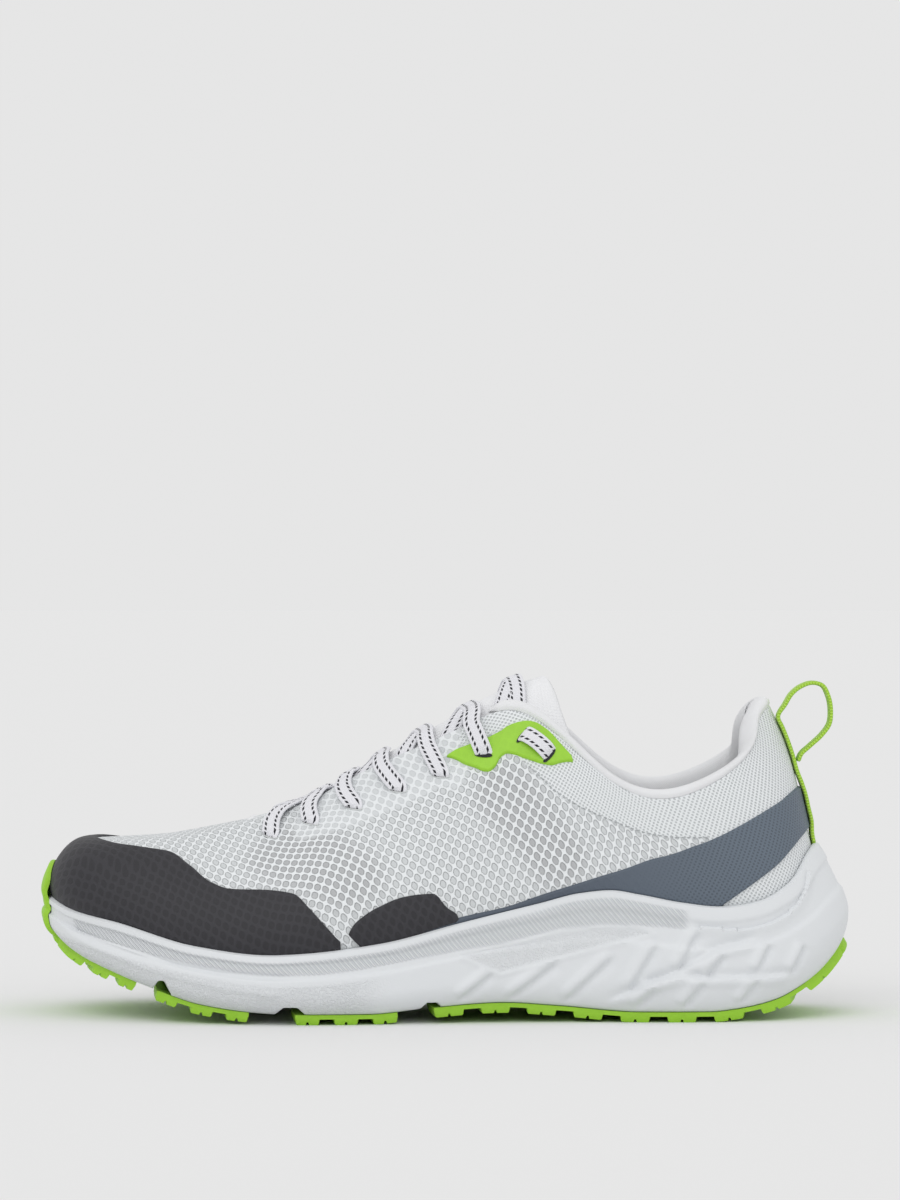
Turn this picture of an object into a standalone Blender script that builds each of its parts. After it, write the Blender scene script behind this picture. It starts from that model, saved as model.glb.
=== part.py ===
"""A trail running shoe for the left foot, standing empty on its sole.

The toe points to -X, the lateral side to -Y and up is +Z. The origin is on the
ground under the middle of the shoe. All sizes are in metres.

Upper and midsole are lofted through closed loops that run round the last. Each
loop has a row for each section of the shoe, from heel to toe, and every other
piece takes its place from those two surfaces.
"""

import math

import bmesh
import bpy
import numpy as np
from mathutils import Vector

# Driving sizes of the whole shoe
LENGTH = 0.300
BALL_WIDTH = 0.108
HEEL_HEIGHT = 0.1185

# Sole: stack under heel and ball, least height of the cup over the footbed,
# rubber sheet and lugs
HEEL_STACK = 0.031
BALL_STACK = 0.0205
CUP_HEIGHT = 0.0035
RUBBER = 0.0013
PAD_PLAY = 0.0006
CUP_PLAY = 0.0006
LUG = 0.0021
LIP = 0.0022
LIP_ROUND = 0.0006
EDGE_ROUND = 0.0045
GROOVE_DEPTH = 0.0026
GROOVE_SLANT = 0.12
RIB_WIDTH = 0.0052
RIB_DEPTH = 0.0013
TREAD_INSET = 0.0036
LUG_FILL = 0.64
LUG_ACROSS = (-1.00, -0.64, -0.50, -0.09, 0.09, 0.50, 0.64, 1.00)
BUMPER_HEIGHT = 0.0565
BUMPER_THICKNESS = 0.0016
BUMPER_STATIONS = 0.42
BUMPER_FALL = 0.006

# Toe spring of the footbed over its level at the ball
TOE_RISE = 0.0185

# Upper and what is sewn or glued to it
WALL = 0.0020
FEATHER_LIFT = 0.0004
OVERLAY = 0.0007
OVERLAY_GAP = 0.0006
TONGUE_PAD = 0.0050
TONGUE_TUCK = 0.0140
TONGUE_PLAY = 0.0006
TONGUE_DIP = 0.0027
TONGUE_RISE = (0.0075, 0.0, 0.0010)
TONGUE_NARROW = 0.12
INSOLE = 0.0040
INSOLE_PLAY = 0.0016
INSOLE_LIFT = 0.0005
LACE_WIDTH = 0.0064
LACE_THICKNESS = 0.0014
LACE_ARCH = 0.0010
LOOP_WIDTH = 0.0100
LOOP_THICKNESS = 0.0016

# Pull of the crown over the throat, as a share of the throat's width
CROWN = 1.2
CROWN_REAR = 0.75

# Pieces that meet keep this gap
GAP = 0.0003

TREAD = GAP + RUBBER + LUG
LAST_STATION = 11
COLUMN_CELLS = 3
UPPER_CELLS = 8
SOLE_CELLS = 3
COLUMNS = 2 * LAST_STATION

# Stations where pieces start and end
PAD_END = 3.70
BEAD_START = 4.60
COLLAR_END = 5.60
TONGUE_FRONT = 10.20
TONGUE_REAR = 5.05
LACE_START = 0.22
TOP_CROSSING = (5.45, 5.15)
LOOP_TOP = 0.93

# The loops of the upper, seen as sections from heel to toe. x is a share of the
# length from the heel, y a share of the ball width, z a share of the heel height.
SIDE = (
    # section, x, lateral y, lateral z, medial y, medial z
    ("heel tip", 0.040, 0.000, 0.422, 0.000, 0.422),
    ("heel corner", 0.063, -0.181, 0.397, 0.181, 0.397),
    ("heel side", 0.115, -0.306, 0.388, 0.306, 0.388),
    ("collar low", 0.207, -0.356, 0.371, 0.352, 0.371),
    ("waist", 0.307, -0.361, 0.380, 0.333, 0.380),
    ("eyestay top", 0.417, -0.375, 0.371, 0.315, 0.371),
    ("midfoot", 0.530, -0.426, 0.321, 0.343, 0.321),
    ("ball rear", 0.650, -0.472, 0.270, 0.407, 0.270),
    ("ball", 0.763, -0.444, 0.262, 0.449, 0.262),
    ("forefoot", 0.867, -0.352, 0.295, 0.426, 0.295),
    ("toe corner", 0.957, -0.185, 0.371, 0.296, 0.371),
    ("toe tip", 0.987, 0.065, 0.405, 0.065, 0.405),
)
FLANK = (
    ("heel tip", 0.052, 0.000, 0.591, 0.000, 0.591),
    ("heel corner", 0.070, -0.167, 0.574, 0.167, 0.574),
    ("heel side", 0.120, -0.287, 0.540, 0.287, 0.540),
    ("collar low", 0.210, -0.343, 0.481, 0.338, 0.481),
    ("waist", 0.307, -0.343, 0.532, 0.329, 0.532),
    ("eyestay top", 0.413, -0.333, 0.591, 0.319, 0.591),
    ("midfoot", 0.520, -0.366, 0.515, 0.352, 0.515),
    ("ball rear", 0.643, -0.398, 0.447, 0.389, 0.447),
    ("ball", 0.757, -0.366, 0.422, 0.389, 0.422),
    ("forefoot", 0.853, -0.292, 0.456, 0.352, 0.456),
    ("toe corner", 0.930, -0.157, 0.511, 0.250, 0.511),
    ("toe tip", 0.957, 0.056, 0.530, 0.056, 0.530),
)
SHOULDER = (
    ("heel tip", 0.072, 0.000, 0.802, 0.000, 0.802),
    ("heel corner", 0.092, -0.139, 0.785, 0.139, 0.785),
    ("heel side", 0.133, -0.245, 0.709, 0.245, 0.709),
    ("collar low", 0.213, -0.315, 0.591, 0.315, 0.591),
    ("waist", 0.307, -0.306, 0.675, 0.306, 0.675),
    ("eyestay top", 0.407, -0.264, 0.802, 0.273, 0.802),
    ("midfoot", 0.500, -0.259, 0.717, 0.287, 0.717),
    ("ball rear", 0.620, -0.241, 0.624, 0.278, 0.624),
    ("ball", 0.720, -0.213, 0.557, 0.250, 0.557),
    ("forefoot", 0.793, -0.157, 0.557, 0.204, 0.557),
    ("toe corner", 0.833, -0.093, 0.557, 0.157, 0.557),
    ("toe tip", 0.885, 0.037, 0.545, 0.037, 0.545),
)
EDGE = (
    ("heel tip", 0.097, 0.000, 0.960, 0.000, 0.960),
    ("heel corner", 0.112, -0.106, 0.916, 0.106, 0.934),
    ("heel side", 0.132, -0.215, 0.802, 0.215, 0.820),
    ("collar low", 0.217, -0.287, 0.682, 0.287, 0.700),
    ("waist", 0.307, -0.272, 0.751, 0.276, 0.768),
    ("eyestay top", 0.400, -0.190, 0.937, 0.204, 0.945),
    ("midfoot", 0.483, -0.157, 0.890, 0.181, 0.890),
    ("ball rear", 0.587, -0.130, 0.772, 0.157, 0.772),
    ("ball", 0.653, -0.116, 0.684, 0.139, 0.684),
    ("forefoot", 0.700, -0.088, 0.635, 0.106, 0.635),
    ("toe corner", 0.720, -0.042, 0.620, 0.060, 0.620),
    ("toe tip", 0.725, 0.009, 0.616, 0.009, 0.616),
)

# The sole's outline seen from above, and how far the upper's lower edge lies in.
PLAN = (
    # section, x, lateral y, medial y, inset of the upper
    ("heel tip", 0.004, 0.000, 0.000, 0.0150),
    ("heel corner", 0.035, -0.222, 0.222, 0.0120),
    ("heel side", 0.110, -0.356, 0.356, 0.0100),
    ("collar low", 0.205, -0.403, 0.394, 0.0090),
    ("waist", 0.305, -0.398, 0.361, 0.0085),
    ("eyestay top", 0.415, -0.407, 0.333, 0.0085),
    ("midfoot", 0.530, -0.454, 0.361, 0.0080),
    ("ball rear", 0.645, -0.500, 0.431, 0.0075),
    ("ball", 0.755, -0.477, 0.500, 0.0075),
    ("forefoot", 0.860, -0.380, 0.477, 0.0070),
    ("toe corner", 0.955, -0.185, 0.343, 0.0070),
    ("toe tip", 0.990, 0.074, 0.074, 0.0080),
)

# The top of the midsole's side. x as above, z a share of the heel height.
RIM = (
    # x, z
    (0.043, 0.534),
    (0.050, 0.522),
    (0.058, 0.500),
    (0.075, 0.437),
    (0.092, 0.400),
    (0.115, 0.368),
    (0.140, 0.354),
    (0.167, 0.349),
    (0.213, 0.362),
    (0.262, 0.386),
    (0.299, 0.400),
    (0.336, 0.391),
    (0.384, 0.361),
    (0.481, 0.302),
    (0.577, 0.242),
    (0.673, 0.212),
    (0.709, 0.208),
    (0.796, 0.232),
    (0.893, 0.298),
    (0.947, 0.327),
    (0.987, 0.367),
)

# The midsole's underside: height over the tread as a share of the heel height.
# Two stretches lie on the tread itself, and the shoe stands on them.
UNDERSIDE = (
    # x, z
    (0.000, 0.272),
    (0.008, 0.214),
    (0.034, 0.133),
    (0.063, 0.077),
    (0.100, 0.032),
    (0.140, 0.010),
    (0.180, 0.000),
    (0.262, 0.000),
    (0.360, 0.019),
    (0.430, 0.030),
    (0.520, 0.016),
    (0.590, 0.000),
    (0.680, 0.000),
    (0.730, 0.006),
    (0.793, 0.027),
    (0.843, 0.064),
    (0.897, 0.112),
    (0.950, 0.170),
    (0.978, 0.232),
    (0.993, 0.300),
)

# The belly of the midsole's side, where it is widest.
BELLY = (
    # x, z
    (0.000, 0.338),
    (0.035, 0.262),
    (0.110, 0.165),
    (0.220, 0.125),
    (0.420, 0.125),
    (0.640, 0.095),
    (0.760, 0.105),
    (0.860, 0.160),
    (0.955, 0.255),
    (0.993, 0.330),
)

# Steps of the midsole's side: share of the way up, and how far it stands out.
STEPS = (
    # share up, out
    (0.00, 0.0000),
    (0.30, 0.0012),
    (0.58, 0.0012),
    (0.63, 0.0002),
    (0.84, 0.0000),
    (0.88, 0.0007),
    (1.00, 0.0004),
)

# Flex grooves across the sole: middle and half width as shares of the length.
GROOVES = (
    # x, half width
    (0.858, 0.011),
    (0.705, 0.024),
    (0.533, 0.019),
)

# The outsole's rubber pads, from front to rear, and how far their rungs bow.
OUTSOLE = (
    # name, front, rear, rows of lugs, bow at the front, bow at the rear
    ("outsole_toe", 0.957, 0.872, 3, -0.0070, -0.0030),
    ("outsole_forefoot", 0.846, 0.734, 3, -0.0030, -0.0030),
    ("outsole_ball", 0.678, 0.556, 3, -0.0030, -0.0030),
    ("outsole_heel", 0.512, 0.026, 9, -0.0030, 0.0050),
)

# Sculpted diagonal ribs of the heel's side: from low front to high rear.
RIBS = (
    # station low, share up low, station high, share up high
    (5.60, 0.10, 5.00, 0.55),
    (5.00, 0.10, 4.30, 0.58),
    (4.40, 0.10, 3.75, 0.62),
    (3.75, 0.14, 3.25, 0.68),
    (3.15, 0.34, 2.75, 0.74),
    (3.30, 0.04, 2.98, 0.28),
    (2.80, 0.12, 2.30, 0.52),
    (2.30, 0.08, 1.75, 0.56),
)

# Overlays on the upper: share of the column where each stretch starts and ends.
# None is the top of the midsole's side.
TOE_CAP = (
    # station, low, high
    (6.78, None, 0.20),
    (6.90, None, 0.28),
    (7.10, None, 0.38),
    (7.30, None, 0.45),
    (7.65, None, 0.475),
    (8.00, None, 0.480),
    (8.25, None, 0.505),
    (8.60, None, 0.568),
    (9.05, None, 0.616),
    (9.50, None, 0.600),
    (10.0, None, 0.580),
    (11.0, None, 0.620),
)
SADDLE = (
    (5.58, None, 0.23),
    (5.70, None, 0.27),
    (5.88, None, 0.346),
    (6.20, None, 0.362),
    (6.45, None, 0.340),
    (6.62, None, 0.300),
    (6.70, None, 0.26),
)
HEEL_BAND = (
    (0.00, 0.46, 0.640),
    (0.40, 0.46, 0.636),
    (1.30, 0.43, 0.620),
    (2.00, 0.333, 0.612),
    (2.33, 0.271, 0.614),
    (2.60, None, 0.617),
    (2.80, None, 0.615),
    (3.30, None, 0.546),
    (3.80, None, 0.412),
    (4.28, None, 0.330),
    (4.70, None, 0.275),
    (5.10, None, 0.240),
    (5.42, None, 0.225),
)
EYESTAY = (
    (4.38, 0.83, 0.87),
    (4.62, 0.767, 0.929),
    (4.95, 0.750, 0.932),
    (5.20, 0.775, 0.900),
    (5.40, 0.721, 0.880),
    (5.70, 0.783, 0.890),
    (5.98, 0.860, 0.895),
)

# Lateral eyelets: station, and distance down the wall from the throat's edge.
EYELETS = (
    # station, down, station where the lace passes the edge
    (7.93, 0.0253, 9.30),
    (7.43, 0.0213, 8.50),
    (6.95, 0.0188, 7.85),
    (6.52, 0.0168, 7.20),
    (6.08, 0.0171, 6.60),
    (5.52, 0.0165, 6.05),
    (5.00, 0.0085, 5.00),
    (4.65, 0.0095, 4.65),
)

# Section of the collar's roll: out from the wall and up from its edge, in the
# padded part and where it thins to a bead along the eyestay.
ROLL = (
    # padded out, padded up, bead out, bead up
    (0.0000, 0.0004, 0.0000, 0.0004),
    (0.0007, 0.0020, 0.0006, 0.0016),
    (-0.0003, 0.0038, -0.0002, 0.0032),
    (-0.0032, 0.0046, -0.0018, 0.0040),
    (-0.0068, 0.0024, -0.0034, 0.0034),
    (-0.0088, -0.0040, -0.0044, 0.0016),
    (-0.0082, -0.0130, -0.0046, -0.0006),
    (-0.0036, -0.0320, -0.0034, -0.0040),
    (-0.0027, -0.0320, -0.0027, -0.0040),
    (-0.0029, -0.0215, -0.0028, -0.0027),
    (-0.0029, -0.0105, -0.0028, -0.0013),
    (-0.0026, 0.0004, -0.0026, 0.0004),
)

# The pull loop, from the strap's top round to its foot, as shares of its size.
LOOP_REACH = 0.0150
LOOP_HEIGHT = 0.0290
PULL_LOOP = (
    # out, up
    (0.00, 0.84),
    (0.16, 0.96),
    (0.42, 1.00),
    (0.70, 0.97),
    (0.92, 0.82),
    (1.00, 0.60),
    (0.94, 0.42),
    (0.70, 0.27),
    (0.38, 0.12),
    (0.08, 0.00),
)

COLOURS = {
    # name: colour, roughness
    "mesh_white": ((0.78, 0.79, 0.80), 0.75),
    "lining_white": ((0.86, 0.86, 0.87), 0.85),
    "foam_white": ((0.84, 0.85, 0.86), 0.55),
    "film_charcoal": ((0.055, 0.052, 0.060), 0.55),
    "film_slate": ((0.115, 0.140, 0.175), 0.50),
    "film_lime": ((0.36, 0.64, 0.05), 0.50),
    "rubber_lime": ((0.35, 0.62, 0.05), 0.60),
    "webbing_lime": ((0.42, 0.66, 0.06), 0.80),
    "lace_white": ((0.82, 0.82, 0.86), 0.80),
    "foam_grey": ((0.55, 0.56, 0.58), 0.85),
}


def spline_weights(count, params, closed):
    """Weights of a cubic spline through count points, at each parameter."""
    i = np.arange(count)
    left = np.zeros((count, count))
    right = np.zeros((count, count))
    left[i, i] = 4.0
    for step in (-1, 1):
        j = (i + step) % count
        left[i, j] += 1.0
        right[i, j] += 6.0
    right[i, i] -= 12.0
    if not closed:
        for end in (0, count - 1):
            left[end] = right[end] = 0.0
            left[end, end] = 1.0
    bend = np.linalg.solve(left, right)
    params = np.asarray(params, float)
    if closed:
        params = params % count
    low = np.floor(params).astype(int)
    low = low % count if closed else np.clip(low, 0, count - 2)
    f = (params - low)[:, None]
    high = (low + 1) % count
    unit = np.eye(count)
    start = (1 - f) * unit[low] + ((1 - f) ** 3 - (1 - f)) / 6 * bend[low]
    return start + f * unit[high] + (f**3 - f) / 6 * bend[high]


def ease(rows, values, column=1):
    """Smooth values of a column along the first one, with no overshoot."""
    place = np.array([row[0] for row in rows], float)
    level = np.array([row[column] for row in rows], float)
    step = np.diff(place)
    slope = np.diff(level) / step
    tangent = np.concatenate([[slope[0]], np.zeros(len(slope) - 1), [slope[-1]]])
    rising = slope[:-1] * slope[1:] > 0
    mean = 2 * slope[:-1] * slope[1:] / np.where(rising, slope[:-1] + slope[1:], 1)
    tangent[1:-1] = np.where(rising, mean, 0.0)
    values = np.clip(np.asarray(values, float), place[0], place[-1])
    k = np.clip(np.searchsorted(place, values, "right") - 1, 0, len(step) - 1)
    f = (values - place[k]) / step[k]
    return (
        (1 + 2 * f) * (1 - f) ** 2 * level[k]
        + f * (1 - f) ** 2 * step[k] * tangent[k]
        + f**2 * (3 - 2 * f) * level[k + 1]
        - f**2 * (1 - f) * step[k] * tangent[k + 1]
    )


def smooth(f):
    """0 to 1 with a soft start and end."""
    f = np.clip(f, 0, 1)
    return f * f * (3 - 2 * f)


def share_of(x):
    """Share of the length from the heel at a place along the shoe."""
    return 0.5 - np.asarray(x) / LENGTH


def underside(x):
    """Height of the midsole's underside."""
    return TREAD + HEEL_HEIGHT * ease(UNDERSIDE, share_of(x))


def rim(x):
    """Height of the top of the midsole's side."""
    return np.maximum(HEEL_HEIGHT * ease(RIM, share_of(x)), footbed(x) + CUP_HEIGHT)


def footbed(x):
    """Height of the midsole's top, under the insole."""
    share = share_of(x)
    drop = (HEEL_STACK - BALL_STACK) * smooth((share - 0.36) / 0.30)
    return HEEL_STACK - drop + TOE_RISE * np.clip((share - 0.76) / 0.22, 0, 1) ** 1.7


def upper_loop(rows):
    """A loop's points: down the lateral side and back up the medial one."""
    lateral = [(row[1], row[2], row[3]) for row in rows]
    medial = [(row[1], row[4], row[5]) for row in rows[-2:0:-1]]
    sizes = np.array([-LENGTH, BALL_WIDTH, HEEL_HEIGHT])
    return np.array(lateral + medial) * sizes + np.array([LENGTH / 2, 0, 0])


def level_normals(points):
    """Level directions that point out of a closed loop round the shoe."""
    along = np.roll(points, -1, axis=0) - np.roll(points, 1, axis=0)
    out = np.stack([-along[:, 1], along[:, 0], 0 * along[:, 0]], axis=1)
    out /= np.linalg.norm(out, axis=1)[:, None]
    away = (out * (points - points.mean(axis=0))).sum() > 0
    return out if away else -out


# The lateral side is walked from heel to toe, so outwards is on this hand.
PLAN_TURN = -1.0
PLAN_LOOP = upper_loop([(r[0], r[1], r[2], 0.0, r[3], 0.0) for r in PLAN])
INSETS = np.array([r[4] for r in PLAN] + [r[4] for r in PLAN[-2:0:-1]])


def plan(stations, inset=0.0):
    """Points of the sole's outline, moved in by an inset."""
    weights = spline_weights(COLUMNS, stations, True)
    ahead = spline_weights(COLUMNS, np.asarray(stations) + 0.01, True)
    along = (ahead - weights) @ PLAN_LOOP
    out = np.stack([along[:, 1], -along[:, 0], 0 * along[:, 0]], axis=1)
    out *= PLAN_TURN / np.linalg.norm(out, axis=1)[:, None]
    return weights @ PLAN_LOOP - out * np.asarray(inset).reshape(-1, 1), out


def upper_net():
    """Control points of the upper: 22 columns of 5 points."""
    feather = PLAN_LOOP - level_normals(PLAN_LOOP) * INSETS[:, None]
    feather[:, 2] = footbed(feather[:, 0]) + GAP + FEATHER_LIFT
    return np.stack([feather] + [upper_loop(r) for r in (SIDE, FLANK, SHOULDER, EDGE)], axis=1)


NET = upper_net()
FINE = np.linspace(0, 1, 161)


def wall(stations, shares):
    """Points of the upper's outside, for each station and share of its column."""
    round_weights = spline_weights(COLUMNS, stations, True)
    up_weights = spline_weights(NET.shape[1], 4 * np.asarray(shares, float), False)
    return np.einsum("ui,ijc,tj->utc", round_weights, NET, up_weights)


def wall_normals(stations, shares):
    """Directions that point out of the upper, as wall gives its points."""
    step = 1e-3
    stations, shares = np.asarray(stations, float), np.asarray(shares, float)
    along = wall(stations + step, shares) - wall(stations - step, shares)
    low, high = np.clip(shares - step, 0, 1), np.clip(shares + step, 0, 1)
    up = wall(stations, high) - wall(stations, low)
    out = np.cross(up, along)
    return out / np.linalg.norm(out, axis=2)[:, :, None]


def rim_share(station, over=0.0):
    """Share of the column where the upper leaves the midsole."""
    column = wall([station], FINE)[0]
    above = column[:, 2] - rim(column[:, 0]) - over
    first = int(np.argmax(above > 0))
    f = -above[first - 1] / (above[first] - above[first - 1])
    return FINE[first - 1] + f * (FINE[1] - FINE[0])


def wall_frame(station, up):
    """Point, outward and upward directions at a distance up from the edge."""
    column = wall([station], FINE)[0]
    steps = np.linalg.norm(np.diff(column, axis=0), axis=1)
    run = np.concatenate([[0], np.cumsum(steps)])
    share = float(np.interp(run[-1] + min(up, 0.0), run, FINE))
    point = wall([station], [share])[0, 0]
    out = wall_normals([station], [share])[0, 0]
    ends = wall([station], [max(share - 0.01, 0), min(share + 0.01, 1)])[0]
    rise = (ends[1] - ends[0]) / np.linalg.norm(ends[1] - ends[0])
    return point + rise * max(up, 0.0), out, rise


def wall_point(station, up, out):
    """A point off the wall: up from its edge and out from its surface."""
    point, normal, _ = wall_frame(station, up)
    return point + normal * out


def tongue_depth(station):
    """How deep the tongue's top lies under the wall, deeper under the collar's bead."""
    return WALL + TONGUE_PLAY + TONGUE_DIP * smooth((6.3 - station) / 0.6)


def bridge(station, across):
    """A point of the tongue's top, from -1 at the lateral edge to 1 at the medial."""
    start, start_out, start_rise = wall_frame(station, 0.0)
    end, end_out, end_rise = wall_frame(COLUMNS - station, 0.0)
    start = start - start_out * tongue_depth(station)
    end = end - end_out * tongue_depth(station)
    pull = np.linalg.norm(end - start) * (CROWN + CROWN_REAR * smooth((6.4 - station) / 1.3))
    f = (across + 1) / 2
    return (
        (1 + 2 * f) * (1 - f) ** 2 * start
        + f * (1 - f) ** 2 * pull * start_rise
        + f**2 * (3 - 2 * f) * end
        + f**2 * (1 - f) * pull * end_rise
    )


def over_tongue(station, across, off):
    """A point off the tongue's top, and the direction away from it."""
    step = 0.02
    along = bridge(station - step, across) - bridge(station + step, across)
    side = bridge(station, min(across + step, 1)) - bridge(station, max(across - step, -1))
    out = np.cross(along, side)
    out /= np.linalg.norm(out)
    return bridge(station, across) + out * off, out


def material(name):
    """A plain material of the piece's colour."""
    found = bpy.data.materials.get(name)
    if found:
        return found
    colour, roughness = COLOURS[name]
    made = bpy.data.materials.new(name)
    made.use_nodes = True
    shader = made.node_tree.nodes["Principled BSDF"]
    shader.inputs["Base Color"].default_value = (*colour, 1.0)
    shader.inputs["Roughness"].default_value = roughness
    made.diffuse_color = (*colour, 1.0)
    return made


def piece(name, points, faces, finish, inside=None):
    """A named mesh. An open one is turned to look away from a point inside."""
    mesh = bpy.data.meshes.new(name)
    mesh.from_pydata([tuple(p) for p in points], [], faces)
    work = bmesh.new()
    work.from_mesh(mesh)
    bmesh.ops.recalc_face_normals(work, faces=work.faces)
    if inside is not None:
        centre = Vector(inside)
        away = sum(f.normal.dot(f.calc_center_median() - centre) for f in work.faces)
        if away < 0:
            bmesh.ops.reverse_faces(work, faces=work.faces)
    work.to_mesh(mesh)
    work.free()
    mesh.shade_smooth()
    mesh.set_sharp_from_angle(angle=math.radians(40))
    mesh.materials.append(material(finish))
    made = bpy.data.objects.new(name, mesh)
    bpy.data.collections["trail_running_shoe"].objects.link(made)
    return made


def grid_faces(rows, columns, closed=False):
    """Quads between rows of points, each row a run of columns."""
    faces = []
    for i in range(rows if closed else rows - 1):
        a, b = i * columns, (i + 1) % rows * columns
        faces += [(a + j, b + j, b + j + 1, a + j + 1) for j in range(columns - 1)]
    return faces


def sheet(name, grid, thickness, finish, inside, closed=False):
    """A grid of points as an open surface, thickened inwards by Solidify."""
    grid = np.asarray(grid)
    rows, columns = grid.shape[:2]
    faces = grid_faces(rows, columns, closed)
    made = piece(name, grid.reshape(-1, 3), faces, finish, inside)
    solid = made.modifiers.new("thickness", "SOLIDIFY")
    solid.thickness = thickness
    solid.offset = -1.0
    return made


def loft(name, rings, finish, closed=False):
    """A solid through rings of points that match one another."""
    rings = np.asarray(rings)
    count, around = rings.shape[:2]
    faces = []
    for i in range(count if closed else count - 1):
        a, b = i * around, (i + 1) % count * around
        for j in range(around):
            k = (j + 1) % around
            faces.append((a + j, a + k, b + k, b + j))
    if not closed:
        faces += [tuple(range(around)), tuple((count - 1) * around + j for j in range(around))]
    return piece(name, rings.reshape(-1, 3), faces, finish)


def combined(target, other, operation):
    """target joined with or cut by other, which is then removed."""
    change = target.modifiers.new("combine", "BOOLEAN")
    change.operation = operation
    change.object = other
    graph = bpy.context.evaluated_depsgraph_get()
    mesh = bpy.data.meshes.new_from_object(target.evaluated_get(graph))
    target.modifiers.clear()
    target.data = mesh
    bpy.data.objects.remove(other)
    return target


def one_mesh(objects):
    """Several objects as one, for a single cut."""
    first = objects[0]
    work = bmesh.new()
    for each in objects:
        work.from_mesh(each.data)
    work.to_mesh(first.data)
    work.free()
    for each in objects[1:]:
        bpy.data.objects.remove(each)
    return first


def round_stations(low=0.0, high=LAST_STATION):
    """Stations of one side, from low to high, at the shoe's own spacing."""
    every = np.arange(0, LAST_STATION * COLUMN_CELLS + 1) / COLUMN_CELLS
    inner = every[(every > low + 0.05) & (every < high - 0.05)]
    return sorted({low, high, *inner})


def both_sides(side):
    """Stations down the lateral side and back up the medial one."""
    return np.array(list(side) + [COLUMNS - s for s in side[-2:0:-1]])


def ladder(loop, height, cells):
    """Points and faces that close a loop with rungs from side to side."""
    count = len(loop)
    points, faces, rungs = [], [], []
    for i in range(1, count // 2):
        a, b = loop[i], loop[count - i]
        rung = [i]
        for k in range(1, cells):
            x, y, _ = a + (b - a) * k / cells
            rung.append(count + len(points))
            points.append((x, y, height(x)))
        rungs.append(rung + [count - i])
    for near, far in zip(rungs, rungs[1:]):
        faces += [(near[k], far[k], far[k + 1], near[k + 1]) for k in range(cells)]
    for tip, rung in ((0, rungs[0]), (count // 2, rungs[-1])):
        faces += [(tip, rung[k], rung[k + 1]) for k in range(cells)]
    return points, faces


def build_upper():
    """The upper: one wall from its lower edge to collar and throat."""
    grid = wall(both_sides(round_stations()), np.linspace(0, 1, UPPER_CELLS + 1))
    return sheet("upper", grid, WALL, "mesh_white", (0, 0, HEEL_HEIGHT / 2), closed=True)


def midsole_column(station):
    """The midsole's side at a station, from its tread over the lip to the footbed."""
    share = rim_share(station)
    lip, lip_out = wall([station], [share])[0, 0], wall_normals([station], [share])[0, 0]
    lip_out = lip_out * np.array([1, 1, 0]) / np.linalg.norm(lip_out[:2])
    (belly,), (out,) = plan([station])
    foot = belly - out * EDGE_ROUND
    foot[2] = underside(foot[0])
    belly[2] = HEEL_HEIGHT * float(ease(BELLY, share_of(belly[0])))
    top = lip + lip_out * (GAP + LIP)
    points = []
    for up, step in STEPS:
        z = foot[2] + (top[2] - foot[2]) * up
        if z < belly[2]:
            f = (z - foot[2]) / (belly[2] - foot[2])
            bulge = math.sqrt(max(0.0, 1 - (1 - f) ** 2))
            place = foot + (belly - foot) * bulge
        else:
            f = (z - belly[2]) / (top[2] - belly[2])
            place = belly + (top - belly) * f**1.35
        points.append((place[0] + out[0] * step, place[1] + out[1] * step, z))
    crest = lip + lip_out * (GAP + LIP * 0.45)
    crest[2] += LIP_ROUND
    points.append(tuple(crest))
    for f in np.linspace(0, 1, 4):
        inner = share * (1 - f)
        play = GAP + CUP_PLAY * min(1.0, f * 3)
        side = wall([station], [inner])[0, 0] + wall_normals([station], [inner])[0, 0] * play
        points.append(tuple(side))
    (last,), _ = plan([station], feather_inset(station) - GAP - CUP_PLAY)
    points.append((last[0], last[1], float(footbed(last[0]))))
    return points


def feather_inset(station):
    """How far the upper's lower edge lies inside the sole's outline."""
    return spline_weights(COLUMNS, [station], True) @ INSETS


def build_midsole():
    """The midsole: a foam cup with steps, a lip, flex grooves and ribs."""
    stations = both_sides(round_stations())
    rows = np.array([midsole_column(s) for s in stations]).transpose(1, 0, 2)
    count = len(stations)
    points = [tuple(p) for p in rows.reshape(-1, 3)]
    faces = []
    for i in range(len(rows) - 1):
        for j in range(count):
            k = (j + 1) % count
            faces.append((i * count + j, i * count + k, (i + 1) * count + k, (i + 1) * count + j))
    for row, height in ((0, underside), (len(rows) - 1, footbed)):
        extra, closing = ladder(rows[row], height, SOLE_CELLS)
        start, base = len(points), row * count
        points += extra
        for face in closing:
            faces.append(tuple(v + base if v < count else v - count + start for v in face))
    made = piece("midsole", points, faces, "foam_white")
    combined(made, one_mesh(flex_cutters() + rib_cutters()), "DIFFERENCE")
    return made


def flex_cutters():
    """Wedges across the sole that cut its flex grooves."""
    cutters = []
    for middle, half in GROOVES:
        x = LENGTH * (0.5 - middle)
        z = float(underside(x))
        rings = []
        for y in (-BALL_WIDTH, BALL_WIDTH):
            slant = -y * GROOVE_SLANT
            low, high = z - LUG * 2, z + GROOVE_DEPTH
            reach = LENGTH * half
            rings.append(
                [
                    (x - reach * 1.4 + slant, y, low),
                    (x - reach * 0.35 + slant, y, high),
                    (x + reach * 0.35 + slant, y, high),
                    (x + reach * 1.4 + slant, y, low),
                ]
            )
        cutters.append(loft("flex_cutter", rings, "foam_white"))
    return cutters


def rib_cutters():
    """Slanted bars along the side that cut the channels between its ribs."""
    cutters = []
    for low, low_share, high, high_share in RIBS:
        for side in (1, -1):
            rings = []
            for f in np.linspace(0, 1, 3):
                station = low + (high - low) * f
                share = low_share + (high_share - low_share) * f
                rings.append(rib_ring(station, share, side))
            cutters.append(loft("rib_cutter", rings, "foam_white"))
    return cutters


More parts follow.
